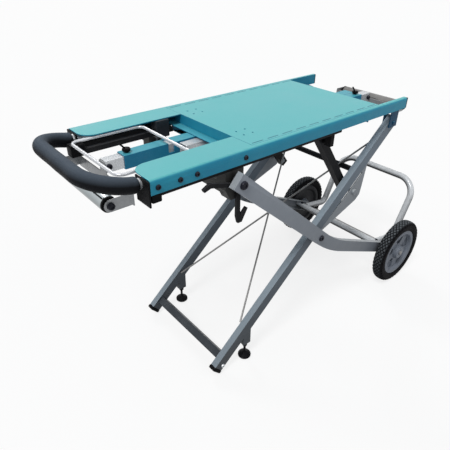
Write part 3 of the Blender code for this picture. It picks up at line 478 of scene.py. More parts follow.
def skinColour(tree, place, tone, look):
    # the tone mixes two colours; then painted light: the lower part takes a painted shade towards the
    # floor, faces that look up a painted top light, faces that look down a painted shade, and the tops of a
    # tread a colour that is dust with a painted highlight
    shown, paintedTopLight = mixColour(tree, tone, *look["colours"]), look.get("paintedTopLight")
    if "lowShade" in look:
        floor, clear, sideShare, topShare = look["lowShade"]
        shown = paintedLowShade(tree, place, shown, floor, clear, sideShare)
        paintedTopLight = paintedLowShade(tree, place, paintedTopLight, floor, clear, topShare)
    if "rise" in look:
        cloud = product(tree, mathNode(tree, "SUBTRACT", tone, 0.5), look["cloud"])
        lift = mathNode(tree, "ADD", paintedLightMask(tree, *look["rise"]), cloud, True)
        shown = mixColour(tree, lift, shown, paintedTopLight)
    if "under" in look:
        shown = mixColour(tree, paintedLightMask(tree, *look["turn"]), look["under"], shown)
    if "knob" in look:
        tread = addNode(tree, "Attribute", attribute_name="knobTop")
        dustAndHighlight = product(tree, tread.outputs["Fac"], paintedLightMask(tree, *look["turn"]))
        shown = mixColour(tree, dustAndHighlight, shown, look["knob"])
    return shown


def skinMarks(tree, place, look, shown, rough, height):
    # worn edges are bare; scratches are rough and sunk, and are bare too or have a scored colour
    worn = placeGroup(tree, wearGroup, place, Width=look["wear"][0], Amount=look["wear"][1])
    if "scratches" in look:
        scale, amount = look["scratches"]
        scratch = placeGroup(tree, scratchGroup, place, Scale=scale, Amount=amount)
        rough = mathNode(tree, "ADD", rough, product(tree, scratch, look["scratchRough"]))
        mark = product(tree, scratch, look["scratchShows"])
        if "scored" in look:
            shown, sunk = mixColour(tree, mark, shown, look["scored"]), scratch
        else:
            worn = mathNode(tree, "MAXIMUM", worn, mark)
            sunk = product(tree, worn, look["wornDepth"])
        height = mathNode(tree, "SUBTRACT", height, sunk)
    return mixColour(tree, worn, shown, look["bare"]), rough, height


def foamCells(tree, place, look):
    # small round cells from a Voronoi distance
    cells = addNode(tree, "TexVoronoi", Vector=place, Scale=look["cell"])
    pit = rangeNode(tree, cells.outputs["Distance"], 0.0, look["cellEdge"])
    return product(tree, pit, look["cellDepth"])


def makeSkin(name, look):
    # the tone sets colour and roughness, and the film's height, with marks or cells, makes the bump
    material = bpy.data.materials.new(name + "Skin")
    material.use_nodes = True
    tree = material.node_tree
    shader = tree.nodes["Principled BSDF"]
    place = addNode(tree, "TexCoord").outputs["Object"]
    tone = placeGroup(tree, toneGroup, place, Scale=look["toneScale"])
    height = placeGroup(tree, filmGroup, place, Scale=look["film"][0], Grain=look["grain"])
    shown = skinColour(tree, place, tone, look)
    rough = rangeNode(tree, tone, 0, 1, *look["rough"])
    if "cell" in look:
        height = mathNode(tree, "ADD", foamCells(tree, place, look), height)
    if "wear" in look:
        shown, rough, height = skinMarks(tree, place, look, shown, rough, height)
    bump = addNode(tree, "Bump", Distance=look["film"][1], Height=height)
    for key, source in (("Base Color", shown), ("Roughness", rough), ("Normal", bump.outputs["Normal"])):
        link(tree, source, shader.inputs[key])
    for key, socket in shaderSockets.items():
        feed(tree, shader.inputs[socket], look.get(key))
    return material


finishes = {name: makeSkin(name, look) for name, look in looks.items()}
finishNodes = {  # solids that don't take the plain finish of their slot
    "sideBarPaint": ("front_side_bar", "rear_side_bar"),
    "plateBarPaint": ("front_strut_plate", "rear_strut_plate"),
    "footTubePaint": ("foot_cross_tube", "pull_bar_guide"),
    "shadedTealPaint": ("front_hinge_bracket", "rear_hinge_bracket"),
    "carriagePaint": ("slide_carriage",),
    "bracketZinc": ("left_roller_bracket", "right_roller_bracket"),
    "rodZinc": ("brace_rod_left", "brace_rod_right"),
}
nodeFinish = {node: finish for finish, group in finishNodes.items() for node in group}
print("finishes made:", len(finishes))


# Surfaces
weld = dict(merge=1e-6, sliver=1e-7)


def gridFaces(rows, columns, wrapRows, wrapColumns):
    # quads between neighbouring rows and columns, and over the seams where a side wraps
    steps = np.arange(rows - (not wrapRows)), np.arange(columns - (not wrapColumns))
    i, j = np.meshgrid(*steps, indexing="ij")
    down, over = (i + 1) % rows, (j + 1) % columns
    corners = (i * columns + j, i * columns + over, down * columns + over, down * columns + j)
    return np.stack(corners, axis=-1).reshape(-1, 4)


def looped(grid):
    # a grid that is closed round its rows and round its columns
    return grid, [gridFaces(*grid.shape[:2], True, True)]


def capped(grid):
    # a grid that is closed round its columns, with a fan over its first and its last row
    rows, columns = grid.shape[:2]
    points = np.concatenate([grid.reshape(-1, 3), grid[:1].mean(1), grid[-1:].mean(1)])
    around = np.arange(columns)
    following = (around + 1) % columns
    first, last, tail = rows * columns, rows * columns + 1, (rows - 1) * columns
    return points, [
        gridFaces(rows, columns, False, True),
        np.stack([np.full(columns, first), following, around], 1),
        np.stack([np.full(columns, last), tail + around, tail + following], 1),
    ]


def dressed(name, mesh, finish, carrier, stands, angle):
    # the mesh as a smooth piece that rides with the carrier's body and may stand for the carrier
    mesh.materials.clear()
    mesh.materials.append(finishes[finish])
    mesh.polygons.foreach_set("use_smooth", np.ones(len(mesh.polygons), bool))
    mesh.set_sharp_from_angle(angle=math.radians(angle))
    piece = addObject(name, mesh)
    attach(piece, bodyOf[carrier])
    if stands:
        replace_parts(piece, carrier)
    return piece


def addPiece(name, parts, finish, carrier, stands=False, angle=35.0):
    # parts is a list of points with their blocks of faces; each row of a block is one quad or one triangle
    points = [grid.reshape(-1, 3) for grid, _ in parts]
    starts = np.cumsum([0] + [len(block) for block in points])
    faces = []
    for start, (_, blocks) in zip(starts, parts):
        for block in blocks:
            faces.extend((block + start).tolist())
    mesh = bpy.data.meshes.new(name)
    mesh.from_pydata(np.concatenate(points).tolist(), [], faces)
    tidy = bmesh.new()
    tidy.from_mesh(mesh)
    bmesh.ops.remove_doubles(tidy, verts=tidy.verts, dist=weld["merge"])
    bmesh.ops.dissolve_degenerate(tidy, edges=tidy.edges, dist=weld["sliver"])
    bmesh.ops.recalc_face_normals(tidy, faces=tidy.faces)
    tidy.to_mesh(mesh)
    tidy.free()
    return dressed(name, mesh, finish, carrier, stands, angle)


def filletPath(corners, radius, count, closed=False):
    # straight runs joined by circular arcs of the given radius, one for all corners or one for each
    corners = np.asarray(corners, float)
    total = len(corners)
    radii = np.broadcast_to(np.asarray(radius, float), total)
    path = [] if closed else [corners[0]]
    t = np.linspace(0, 1, count)[:, None]
    for i in range(0 if closed else 1, total if closed else total - 1):
        before = corners[i - 1] - corners[i]
        after = corners[(i + 1) % total] - corners[i]
        before, after = before / np.linalg.norm(before), after / np.linalg.norm(after)
        half = np.arccos(np.clip(before @ after, -1, 1)) / 2
        reach = radii[i] / np.tan(half)
        middle = corners[i] + (before + after) / np.linalg.norm(before + after) * radii[i] / np.sin(half)
        first, second = corners[i] + before * reach - middle, corners[i] + after * reach - middle
        sweep = np.pi - 2 * half
        path.extend(middle + (first * np.sin((1 - t) * sweep) + second * np.sin(t * sweep)) / np.sin(sweep))
    if not closed:
        path.append(corners[-1])
    return np.array(path)


def carried(path, profile, hint, closed=False):
    # profile (n, 2) carried along path (m, 3): each ring stands square to the path, turned by the hint
    path, profile = np.asarray(path, float), np.asarray(profile, float)
    ahead = np.roll(path, -1, 0) - np.roll(path, 1, 0) if closed else np.gradient(path, axis=0)
    ahead /= np.linalg.norm(ahead, axis=1, keepdims=True)
    hint = np.asarray(hint, float)
    side = hint - (ahead @ hint)[:, None] * ahead
    side /= np.linalg.norm(side, axis=1, keepdims=True)
    up = np.cross(ahead, side)
    if profile.ndim == 2:
        profile = np.broadcast_to(profile, (len(path), *profile.shape))
    return path[:, None] + profile[..., :1] * side[:, None] + profile[..., 1:] * up[:, None]


def angles(count):
    # equal steps round one full turn
    return np.linspace(0, 2 * np.pi, count, endpoint=False)


def circle(radius, count):
    # points at radius times cos and sin of each angle
    t = angles(count)
    return np.stack([radius * np.cos(t), radius * np.sin(t)], 1)


def sixSided(t):
    # share of the corner radius at which a hexagon's side lies, at each angle
    return math.cos(math.pi / 6) / np.cos(t % (np.pi / 3) - np.pi / 6)


def turnedGrid(profile, centre, axis, count, ripple=1.0):
    # profile of (radius, height) turned round the axis, each radius times the ripple at that row and angle
    axis = np.asarray(axis, float) / np.linalg.norm(axis)
    first = np.cross(axis, (0.0, 0.0, 1.0) if abs(axis[2]) < 0.9 else (1.0, 0.0, 0.0))
    first /= np.linalg.norm(first)
    second = np.cross(axis, first)
    t = angles(count)
    ring = np.cos(t)[:, None] * first + np.sin(t)[:, None] * second
    profile = np.asarray(profile, float)
    radius = profile[:, :1] * np.broadcast_to(ripple, (len(profile), count))
    return np.asarray(centre) + radius[..., None] * ring[None] + profile[:, 1:, None] * axis


def easedBar(radius, half, ease):
    # side line of a straight bar whose ends are cut off by the ease
    return [(radius - ease, -half), (radius, ease - half), (radius, half - ease), (radius - ease, half)]


headShape = dict(
    around=30, floor=0.38,  # rows and floor are shares of radius and height
    rows=((0.44, 0.94), (0.62, 1.0), (0.86, 0.84), (0.98, 0.52), (1.0, 0.2), (1.0, -0.1)),
)


def boltHead(centre, axis, radius, height, shank=(), floor=headShape["floor"]):
    # button head turned round its axis, with a six-sided socket sunk into its top down to the floor's share
    rows = ((headShape["rows"][0][0], floor), *headShape["rows"])
    profile = [(r * radius, h * height) for r, h in rows] + list(shank)
    t = angles(headShape["around"])
    ripple = np.ones((len(profile), len(t)))
    ripple[:2] = sixSided(t)
    return capped(turnedGrid(profile, centre, axis, len(t), ripple))


def boltPair(x, face, z, radius, height, floor=headShape["floor"]):
    # the same head on both sides of the stand, each looking outwards
    return [boltHead((x, sign * face, z), (0, sign, 0), radius, height, floor=floor) for sign in (-1, 1)]


# Foam grip and the bent tubes
gripSettings = dict(
    left=-0.6507, halfSpan=0.16, height=0.7125, rise=0.022, kink=-0.5647, bend=0.076,
    start=-0.5542, radius=0.0185, tubeRadius=0.0125, tubeEnd=-0.4842, swell=0.0003,
    waves=37, steps=240, endSteps=6, endDrop=0.0035, arc=40, around=40, sharp=60,
    tubeArc=20, tubeAround=32,
)


def handleLine(startX, grip, count):
    # level out of the rail ends, a kink upward, and one bow across the end of the table
    x, y, z = grip["left"], grip["halfSpan"], grip["height"]
    kink, high = grip["kink"], z + grip["rise"]
    near = [(startX, -y, z), (kink, -y, z), (x, -y, high)]
    corners = near + [(a, -b, c) for a, b, c in reversed(near)]
    return filletPath(corners, grip["bend"], count)


def resampled(path, count, endpoint=True):
    # equal steps along the line, by its length
    run = np.concatenate([[0], np.cumsum(np.linalg.norm(np.diff(path, axis=0), axis=1))])
    wanted = np.linspace(0, run[-1], count, endpoint=endpoint)
    return np.stack([np.interp(wanted, run, path[:, k]) for k in range(path.shape[1])], 1)


def makeGrip(grip):
    # a circle carried along the handle line, drawn in by a quarter round at both ends, with a faint swell
    steps = grip["steps"]
    path = resampled(handleLine(grip["start"], grip, grip["arc"]), steps)
    t = np.linspace(0, 1, steps)
    ends = np.minimum(t, 1 - t) * steps / grip["endSteps"]
    shrink = np.sqrt(np.clip(1 - (1 - np.clip(ends, 0, 1)) ** 2, 0.0, 1))
    swell = grip["swell"] * (0.5 + 0.5 * np.sin(grip["waves"] * t))
    radius = grip["radius"] - grip["endDrop"] * (1 - shrink) - swell
    grid = carried(path, radius[:, None, None] * circle(1.0, grip["around"])[None], (0, 0, 1))
    piece = addPiece("foamGrip", [capped(grid)], "foam_grip", "handle_grip", True, grip["sharp"])
    path = handleLine(grip["tubeEnd"], grip, grip["tubeArc"])
    tube = carried(path, circle(grip["tubeRadius"], grip["tubeAround"]), (0, 0, 1))
    addPiece("handleTubeBent", [capped(tube)], "zinc_steel", "handle_tube", True)


makeGrip(gripSettings)

hoopSettings = dict(
    knee=(0.56586, 0.134), rise=0.232, angle=67.0, halfSpan=0.18, radius=0.0125,
    kneeBend=0.032, topBend=0.072, gap=0.0003, hint=(0.67, 0.33, -0.67), arc=18, around=32,
)


def makeHoop(hoop):
    # a circle carried from the cross tube to the knee, up the lean, across the top and back
    low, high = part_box("frame_cross_tube")
    cross = np.array([(low.x + high.x) / 2, (low.z + high.z) / 2])
    knee = np.array(hoop["knee"])
    lean = math.radians(hoop["angle"])
    top = knee + hoop["rise"] * np.array([math.cos(lean), math.sin(lean)])
    ahead = (knee - cross) / np.linalg.norm(knee - cross)
    start = cross + ahead * (hoop["radius"] + hoop["gap"])
    y = hoop["halfSpan"]
    spots = [(start, -y), (knee, -y), (top, -y), (top, y), (knee, y), (start, y)]
    corners = [(p[0], w, p[1]) for p, w in spots]
    knees, tops = hoop["kneeBend"], hoop["topBend"]
    path = filletPath(corners, (0, knees, tops, tops, knees, 0), hoop["arc"])
    grid = carried(path, circle(hoop["radius"], hoop["around"]), hoop["hint"])
    addPiece("carryHoop", [capped(grid)], "tubeZinc", "frame_hoop", True)


makeHoop(hoopSettings)

bailSettings = dict(
    left=-0.5752, length=0.197, halfSpan=0.118, height=0.7205, bend=0.02, radius=0.004,
    arc=12, around=20,
)


def makeBail(bail):
    # a circle carried round a closed rectangle with rounded corners
    x, y, z = bail["left"], bail["halfSpan"], bail["height"]
    right = x + bail["length"]
    corners = [(x, -y, z), (right, -y, z), (right, y, z), (x, y, z)]
    path = filletPath(corners, bail["bend"], bail["arc"], True)
    grid = carried(path, circle(bail["radius"], bail["around"]), (0, 0, 1), True)
    addPiece("wireBail", [looped(grid)], "wireZinc", "release_bail", True)


makeBail(bailSettings)
print("grip, hoop and wire loop made")

# Straight round bars, from the box of the solid that each stands for
barSettings = {
    "frame_cross_tube": ("crossTube", 0.0125, "tubeZinc"),
    "axle": ("wheelAxle", 0.008, "rodZinc"),
    "upper_cross_bar": ("upperBar", 0.009, "black_paint"),
}
barEnds = dict(most=0.0012, share=0.2, around=40)


def makeBars(bars):
    # a straight profile with eased ends turned round the middle line of the box
    for node, (name, radius, finish) in bars.items():
        low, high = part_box(node)
        half = (high.y - low.y) / 2
        ease = min(barEnds["most"], radius * barEnds["share"])
        grid = turnedGrid(easedBar(radius, half, ease), (low + high) / 2, (0, 1, 0), barEnds["around"])
        addPiece(name, [capped(grid)], finish, node, True)


makeBars(barSettings)

# Tyres with a diamond tread
tyreSettings = dict(
    radius=0.127, inner=0.0918, halfWidth=0.021, knobs=42, rows=3.6, depth=0.0038,
    around=588, across=80, groove=(0.3, 0.14), shoulder=(0.013, 0.004),
    dryTop=(0.0135, 0.004), crown=(0.0006, 0.35), sharp=50,
    bead=((0.0, 0.004), (0.006, 0.0012), (0.014, 0.0)),  # above the inner radius, inside the half width
    wall=((0.012, 0.0006), (0.006, 0.003), (0.0022, 0.0075)),  # below the outer radius, likewise
)


def tyreSection(tyre):
    # closed section: bead seat, side wall, shoulder and tread crown, mirrored to the other side
    r, inner, half = tyre["radius"], tyre["inner"], tyre["halfWidth"]
    drop, share = tyre["crown"]
    side = [(inner + up, inset - half) for up, inset in tyre["bead"]]
    side += [(r - down, inset - half) for down, inset in tyre["wall"]] + [(r - drop, -half * share)]
    outline = side + [(r, 0)] + [(a, -b) for a, b in reversed(side)]
    return resampled(np.array(outline + outline[:1]), tyre["across"], False)


def makeTyre(name, tyre):
    # the section turned round the axle; two crossing waves of grooves sink the tread
    low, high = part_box(name + "_tyre")
    centre = (low + high) / 2
    section = tyreSection(tyre)
    t = angles(tyre["around"])[:, None]
    radius, height = section[None, :, 0], section[None, :, 1]
    a = t * tyre["knobs"] / (2 * np.pi)
    b = height / (2 * tyre["halfWidth"]) * tyre["rows"]
    nearest = np.minimum(np.abs((a + b) % 1 - 0.5), np.abs((a - b) % 1 - 0.5)) * 2
    groove = np.clip((tyre["groove"][0] - nearest) / tyre["groove"][1], 0, 1)
    groove = groove * groove * (3 - 2 * groove)
    below, fade = tyre["shoulder"]
    reach = np.clip((radius - (tyre["radius"] - below)) / fade, 0, 1)
    sunk = radius - tyre["depth"] * groove * reach
    across = np.broadcast_to(height, sunk.shape)
    grid = np.stack([centre.x + sunk * np.cos(t), centre.y + across, centre.z + sunk * np.sin(t)], -1)
    piece = addPiece(name + "TreadTyre", [looped(grid)], "tyre_rubber", name + "_tyre", True, tyre["sharp"])
    # knobTop marks the tread tops, which the tyre finish lightens where they look up: dust with a painted
    # highlight
    edge, fade = tyre["dryTop"]
    knobTop = (1 - groove) * reach * (1 - np.clip((np.abs(height) - edge) / fade, 0, 1))
    worn = piece.data.attributes.new("knobTop", "FLOAT", "POINT")
    worn.data.foreach_set("value", np.ascontiguousarray(knobTop.ravel(), np.float32))


for name in ("front", "rear"):
    makeTyre(name, tyreSettings)
print("tyres made")

# Rim panels: the shallow dished floors of the pockets between the spokes
panelSettings = dict(
    inner=0.047, outer=0.0715, half=21.8, halfLow=17.0, dish=0.0035, wall=0.003,
    count=5, start=90, grid=(13, 9),
)


def makePanels(name, side, panel):
    # each panel is a grid over angle and radius, sunk towards its middle
    low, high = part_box(name + "_wheel_rim")
    centre = (low + high) / 2
    long, wide = panel["grid"]
    u, v = np.meshgrid(np.linspace(-1, 1, long), np.linspace(0, 1, wide), indexing="ij")
    radius = panel["inner"] + v * (panel["outer"] - panel["inner"])
    spread = np.radians(panel["halfLow"] + v * (panel["half"] - panel["halfLow"]))
    y = centre.y - side * panel["dish"] * (1 - u * u) * (1 - (2 * v - 1) ** 2)
    parts = []
    for i in range(panel["count"]):
        turn = math.radians(panel["start"] + 360 / panel["count"] * i) + u * spread
        flat = np.stack([centre.x + radius * np.cos(turn), y, centre.z + radius * np.sin(turn)], -1)
        parts.append((flat, [gridFaces(long, wide, False, False)]))
    piece = addPiece(name + "RimPanels", parts, "rim_plastic", name + "_wheel_rim")
    wall = piece.modifiers.new("panelWall", "SOLIDIFY")
    wall.thickness = panel["wall"]
    wall.offset = 0


# Dark back plates of the wheels, which close the pockets and cover the lip on the inner side; their dark
# colour is a painted shade of the wheels' insides
wellSettings = dict(
    profile=(
        (0.0286, 0.0064), (0.0286, 0.0106), (0.033, 0.0112), (0.0385, 0.0092), (0.044, 0.0084),
        (0.06, 0.0082), (0.065, 0.0096), (0.069, 0.0098), (0.0722, 0.0086), (0.0738, 0.0104),
        (0.0768, 0.0172), (0.079, 0.018), (0.084, 0.0176), (0.089, 0.018), (0.0911, 0.0176),
        (0.0911, 0.0171), (0.0776, 0.0171), (0.0736, 0.0064),
    ),
    count=72,
)


def makeWells(name, side, well):
    # closed profile of (radius, depth towards the middle of the stand) turned round the axle
    low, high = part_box(name + "_wheel_rim")
    grid = turnedGrid(well["profile"], (low + high) / 2, (0, -side, 0), well["count"])
    addPiece(name + "RimShadeBack", [looped(grid)], "shadedRimPlastic", name + "_wheel_rim")


for name, side in (("front", -1), ("rear", 1)):
    makePanels(name, side, panelSettings)
    makeWells(name, side, wellSettings)

# Workpiece rollers: a steel tube with moulded ends, and the dark screws that hold it
rollerSettings = dict(
    radius=0.019, cap=0.0065, bore=0.0054, screw=0.0088, earWall=0.006, screwHeight=0.0082,
    screwFloor=0.755, ease=0.0008, lip=(0.0003, 0.0012, 0.0015), dish=(0.72, 0.64, 0.004),
    finish={"left": "rollerZinc", "right": "wornRollerZinc"}, around=64, capAround=48,
)


def makeRoller(name, roll):
    # straight profile turned for the tube, and a closed cup profile turned for each end
    node = name + "_roller"
    low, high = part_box(node)
    centre, half = (low + high) / 2, (high.y - low.y) / 2
    r, ease, bore, end = roll["radius"], roll["ease"], roll["bore"], half - roll["cap"]
    grid = turnedGrid(easedBar(r, end, ease), centre, (0, 1, 0), roll["around"])
    addPiece(name + "RollerTube", [capped(grid)], roll["finish"][name], node, True)
    (slack, seat, rim), (wide, narrow, deep) = roll["lip"], roll["dish"]
    cup = [
        (bore, end), (r - seat, end), (r - slack, end + ease), (r - slack, half - seat),
        (r - rim, half), (r * wide, half), (r * narrow, half - deep), (bore, half - deep),
    ]
    caps, screws = [], []
    for sign in (-1, 1):
        turned = turnedGrid([(a, sign * b) for a, b in cup], centre, (0, 1, 0), roll["capAround"])
        caps.append(looped(turned))
        place = centre + Vector((0, sign * (half + roll["earWall"]), 0))
        height, floor = roll["screwHeight"], roll["screwFloor"]
        screws.append(boltHead(place, (0, sign, 0), roll["screw"], height, floor=floor))
    addPiece(name + "RollerEnds", caps, "black_plastic", node)
    addPiece(name + "RollerScrews", screws, "boltPaint", name + "_roller_bracket")


for name in ("left", "right"):
    makeRoller(name, rollerSettings)

# Dark bolts in the rail faces and through the side bars
boltSettings = dict(
    railX=(-0.5262, -0.4712, -0.4272, -0.2852), railZ=0.7113, railFace=0.1965, railRadius=0.0062,
    railHeight=0.0044, railFloor=0.54, upper=(-0.30909, 0.655), cover=0.0024, gap=0.0003,
    middle=(0.02586, 0.36507), barFace=0.218, barRadius=0.0112, middleShare=0.9, least=0.003,
    shank=0.006,
)


def makeBolts(bolt):
    # heads on the rails; heads that cover the bars' bosses; heads with a shank through bar and leg
    face, radius, height = bolt["railFace"], bolt["railRadius"], bolt["railHeight"]
    rail = [boltPair(x, face, bolt["railZ"], radius, height, bolt["railFloor"]) for x in bolt["railX"]]
    addPiece("railBolts", sum(rail, []), "boltPaint", "front_rail")
    face, radius = bolt["barFace"], bolt["barRadius"]
    low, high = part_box("front_side_bar")
    boss = -face - low.y
    proud = boss + bolt["cover"]
    x, z = bolt["upper"]
    upper = boltPair(x, face, z, radius, proud, (boss + bolt["gap"]) / proud)
    addPiece("upperBolts", upper, "boltPaint", "front_side_bar")
    x, z = bolt["middle"]
    for sign, node in ((-1, "front_pivot_bolt"), (1, "rear_pivot_bolt")):
        low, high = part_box(node)
        outer, inner = (-low.y, -high.y) if sign < 0 else (high.y, low.y)
        shank = [(bolt["shank"], 0.0), (bolt["shank"], inner - face)]
        size, height = radius * bolt["middleShare"], max(outer - face, bolt["least"])
        head = boltHead((x, sign * face, z), (0, sign, 0), size, height, shank)
        addPiece(node.replace("_pivot_bolt", "MiddleBolt"), [head], "boltPaint", node, True)


makeBolts(boltSettings)

# Stop screws near the outer ends of the pull-out tubes, and the bolts of the foot tube and the cross tube
screwSettings = dict(
    inset=0.0077, radius=0.0074, height=0.0058,
    hinge=(0.3608, 0.655), along=(-0.7561, -0.6545), square=(0.6545, -0.7561),
    footSpot=(0.938, 0.012), legFace=0.18575, footRadius=0.0064, footHeight=0.0048,
    crossSpread=0.19, crossRadius=0.0062, crossHeight=0.0052, crossSink=0.0004,
)


def makeScrews(screw):
    # a foot bolt's place is the hinge, plus so much along the leg, plus so much square to it
    for name in ("left", "right"):
        low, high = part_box(name + "_extension_tube")
        x = low.x + screw["inset"] if name == "left" else high.x - screw["inset"]
        head = boltHead((x, low.y, (low.z + high.z) / 2), (0, -1, 0), screw["radius"], screw["height"])
        addPiece(name + "StopScrew", [head], "boltPaint", name + "_extension_tube")
    hinge, run, square = (np.array(screw[key]) for key in ("hinge", "along", "square"))
    along, aside = screw["footSpot"]
    x, z = hinge + along * run + aside * square
    heads = boltPair(x, screw["legFace"], z, screw["footRadius"], screw["footHeight"])
    addPiece("footBolts", heads, "zinc_steel", "front_leg")
    low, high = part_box("frame_cross_tube")
    x = (low.x + high.x) / 2
    top = (low.z + high.z) / 2 + barSettings["frame_cross_tube"][1] - screw["crossSink"]
    radius, height = screw["crossRadius"], screw["crossHeight"]
    heads = [boltHead((x, sign * screw["crossSpread"], top), (0, 0, 1), radius, height) for sign in (-1, 1)]
    addPiece("crossTubeBolts", heads, "boltPaint", "frame_cross_tube")


makeScrews(screwSettings)
print("panels, rollers and bolts made")

# Dark edges of the dash slots in the deck, a painted shade inside the slots
dashSettings = dict(
    left=-0.2539, right=0.2651, line=0.1744, count=10, length=0.037, width=0.0034,
    top=0.7301, deep=0.003, around=24,
)


def makeDashes(dash):
    # flat strip with round ends, closed all round; one for each slot
    t = angles(dash["around"])
    half, straight = dash["width"] / 2, (dash["length"] - dash["width"]) / 2
    ring = np.stack([np.sign(np.cos(t)) * straight + half * np.cos(t), half * np.sin(t)], 1)
    pitch = (dash["right"] - dash["left"]) / dash["count"]
    levels = (dash["top"] - dash["deep"], dash["top"])
    parts = []
    for i in range(dash["count"]):
        x = dash["left"] + pitch * (i + 0.5)
        for sign in (-1, 1):
            flat = np.array((x, sign * dash["line"])) + ring
            grid = np.stack([np.concatenate([flat, np.full((len(t), 1), z)], 1) for z in levels])
            parts.append(capped(grid))
    addPiece("deckDashes", parts, "shadedTealPaint", "deck_plate")


makeDashes(dashSettings)

# Clamp knobs with a lobed grip and a raised lever
knobSettings = dict(
    radius=0.0108, height=0.0118, lobes=7, lobeDepth=0.07, around=56,
    rows=(  # shares of radius and height, and how much of the lobes a row shows
        (0.5, 0.0, 0), (0.55, 0.2, 0), (0.92, 0.3, 0.7), (1.0, 0.48, 1), (1.0, 0.74, 1),
        (0.9, 0.9, 0.7), (0.62, 0.98, 0.2), (0.25, 1.0, 0),
    ),
    wing=0.028, lift=48.0, wingTip=0.0032, wingRoot=0.72, wingFoot=0.58, wingEnd=0.86,
    wingOval=(0.85, 1.0), wingLeast=0.08, wingAround=20, steps=14,
)


def makeKnob(name, knob):
    # turned dome whose side rows swell and shrink round the axis, and an oval bar that rises and widens
    node = name + "_clamp_knob"
    low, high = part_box(node)
    r, h = knob["radius"], knob["height"]
    x = low.x + r if name == "right" else high.x - r
    y, base = (low.y + high.y) / 2, low.z
    profile = [(r * a, h * b) for a, b, _ in knob["rows"]]
    swell = np.array([c for _, _, c in knob["rows"]])[:, None]
    t = angles(knob["around"])
    ripple = 1 - knob["lobeDepth"] * swell * (0.5 + 0.5 * np.cos(knob["lobes"] * t))
    dome = capped(turnedGrid(profile, (x, y, base), (0, 0, 1), len(t), ripple))
    u = np.linspace(0, 1, knob["steps"])
    lift = math.radians(knob["lift"])
    reach, rise = knob["wing"] * math.cos(lift) * u, knob["wing"] * math.sin(lift) * u
    path = np.stack([x - reach, np.full(len(u), y), base + h * knob["wingFoot"] + rise], 1)
    root, end = knob["wingRoot"], knob["wingEnd"]
    rounding = np.sqrt(np.clip(1 - np.clip((u - end) / (1 - end), 0, 1) ** 2, knob["wingLeast"], 1))
    size = knob["wingTip"] * (root + (1 - root) * u) * rounding
    oval = circle(1.0, knob["wingAround"]) * knob["wingOval"]
    wing = capped(carried(path, size[:, None, None] * oval[None], (0, 0, 1)))
    addPiece(name + "LobedKnob", [dome, wing], "black_plastic", node, True)


for name in ("left", "right"):
    makeKnob(name, knobSettings)

# Levelling feet: ribbed disc, threaded stud and lock nut in one turned grid
levellerSettings = dict(
    disc=(  # radius, height, and 1 for a ribbed row
        (0.0195, 0.0, 0), (0.021, 0.0012, 1), (0.021, 0.0066, 1), (0.01932, 0.0084, 0),
        (0.01092, 0.01176, 0), (0.0084, 0.015, 0), (0.004, 0.018, 0),
    ),
    nut=(  # radius, height, and 1 for a six-sided row
        (0.004, 0.046, 0), (0.007708, 0.046, 0), (0.0082, 0.047, 1), (0.0082, 0.0573, 1),
        (0.004, 0.0575, 0), (0.004, 0.078, 0),
    ),
    stud=0.004, thread=(0.0185, 0.0456), pitch=0.0015, threadDepth=0.06, ribs=18,
    ribDepth=0.035, around=72,
)


def makeLeveller(name, foot):
    # turned rows: the disc is rippled by its ribs, the stud by a wave that climbs one pitch in each turn,
    # and the nut by a hexagon
    node = name + "_leveller"
    low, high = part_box(node)
    disc, nut, pitch = np.array(foot["disc"]), np.array(foot["nut"]), foot["pitch"]
    t, z = angles(foot["around"]), np.arange(*foot["thread"], pitch / 4)
    ribbed = 1 - foot["ribDepth"] * (0.5 + 0.5 * np.cos(foot["ribs"] * t))
    thread = 1 - foot["threadDepth"] * (0.5 + 0.5 * np.cos(2 * np.pi * z[:, None] / pitch - t))
    profile = np.concatenate([disc[:, :2], np.stack([np.full(len(z), foot["stud"]), z], 1), nut[:, :2]])
    flat, sided = np.where(disc[:, 2:] > 0, ribbed, 1), np.where(nut[:, 2:] > 0, sixSided(t), 1)
    ripple = np.concatenate([flat, thread, sided])
    centre = ((low.x + high.x) / 2, (low.y + high.y) / 2, 0)
    grid = turnedGrid(profile, centre, (0, 0, 1), len(t), ripple)
    addPiece(name + "LevelFoot", [capped(grid)], "black_plastic", node, True)


for name in ("front", "rear"):
    makeLeveller(name, levellerSettings)
print("knobs and levelling feet made")

# Solids whose copies are drawn slimmer than the blocks that stand in for them
trimSettings = dict(
    sliderAxis=(0.05891, 0.655), track=0.6825, sliderShare=0.4, sliderLow=0.6475, pin=0.0068,
    latchRoot=(-0.3203, 0.651), latchTip=-0.36, latchLift=15.0,
    hingeAxis=0.3608, hingeLow=0.6425, innerFace=0.1645, strap=0.0078, strapShare=0.25,
)


def slimSlider(points, trim):
    # below the track the block is drawn in towards its pin and cut off a little higher
    x, z = trim["sliderAxis"]
    away = points[:, 0] - x
    block = (points[:, 2] < trim["track"]) & (np.hypot(away, points[:, 2] - z) > trim["pin"])
    points[:, 0] = np.where(block, x + trim["sliderShare"] * away, points[:, 0])
    points[:, 2] = np.maximum(points[:, 2], trim["sliderLow"])
    return points


def shortHinge(points, trim):
    # lower edges raised, and the inner cheek drawn in to a strap round its pin
    x, strap = trim["hingeAxis"], trim["strap"]
    away = points[:, 0] - x
    beyond = np.maximum(np.abs(away) - strap, 0)
    narrow = np.sign(away) * (np.minimum(np.abs(away), strap) + trim["strapShare"] * beyond)
    points[:, 0] = np.where(np.abs(points[:, 1]) < trim["innerFace"], x + narrow, points[:, 0])
    points[:, 2] = np.maximum(points[:, 2], trim["hingeLow"])
    return points


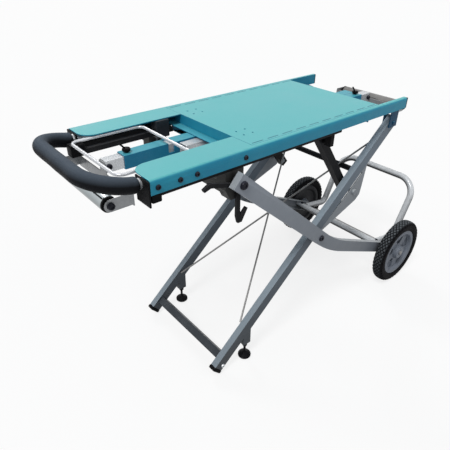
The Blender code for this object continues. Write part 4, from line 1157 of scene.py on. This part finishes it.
def liftedLatch(points, trim):
    # the far end of the lever is turned up about the lever's root
    (x, z), lift = trim["latchRoot"], math.radians(trim["latchLift"])
    tip = points[:, 0] < trim["latchTip"]
    across, above = points[:, 0] - x, points[:, 2] - z
    points[:, 0] = np.where(tip, x + across * math.cos(lift) + above * math.sin(lift), points[:, 0])
    points[:, 2] = np.where(tip, z - across * math.sin(lift) + above * math.cos(lift), points[:, 2])
    return points


trims = {
    "latch_lever": liftedLatch,
    "front_strut_slider": slimSlider, "rear_strut_slider": slimSlider,
    "front_hinge_bracket": shortHinge, "rear_hinge_bracket": shortHinge,
}

# All other solids keep their form and get eased edges
easeSettings = dict(
    widths={"teal_paint": 0.0012, "deep_teal_paint": 0.0008, "grey_paint": 0.0016, "black_paint": 0.001},
    width=0.0007, segments=2, angle=30.0, flat=0.6, merge=2e-6,
)


def roundedCopy(node, edge):
    # the node's own solid with its doubles merged, its flats joined and its edges eased
    mesh = nodes[node].data.copy()
    mesh.name = node + "Eased"
    if node in trims:
        points = np.empty(len(mesh.vertices) * 3, np.float32)
        mesh.vertices.foreach_get("co", points)
        mesh.vertices.foreach_set("co", trims[node](points.reshape(-1, 3), trimSettings).ravel())
    tidy = bmesh.new()
    tidy.from_mesh(mesh)
    bmesh.ops.remove_doubles(tidy, verts=tidy.verts, dist=edge["merge"])
    flat = math.radians(edge["flat"])
    bmesh.ops.dissolve_limit(tidy, angle_limit=flat, verts=tidy.verts, edges=tidy.edges)
    tidy.to_mesh(mesh)
    tidy.free()
    finish = nodeFinish.get(node, slotOf[node])
    piece = dressed(node + "Eased", mesh, finish, node, True, edge["angle"])
    ease = piece.modifiers.new("easedEdges", "BEVEL")
    ease.width = edge["widths"].get(slotOf[node], edge["width"])
    ease.segments = edge["segments"]
    ease.limit_method = "ANGLE"
    ease.angle_limit = math.radians(edge["angle"])
    ease.harden_normals = True


replaced = {name for piece in scene.objects for name in piece.get("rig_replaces", [])}
for node in sorted(set(nodes) - replaced):
    roundedCopy(node, easeSettings)
print("eased solids:", len(nodes) - len(replaced))
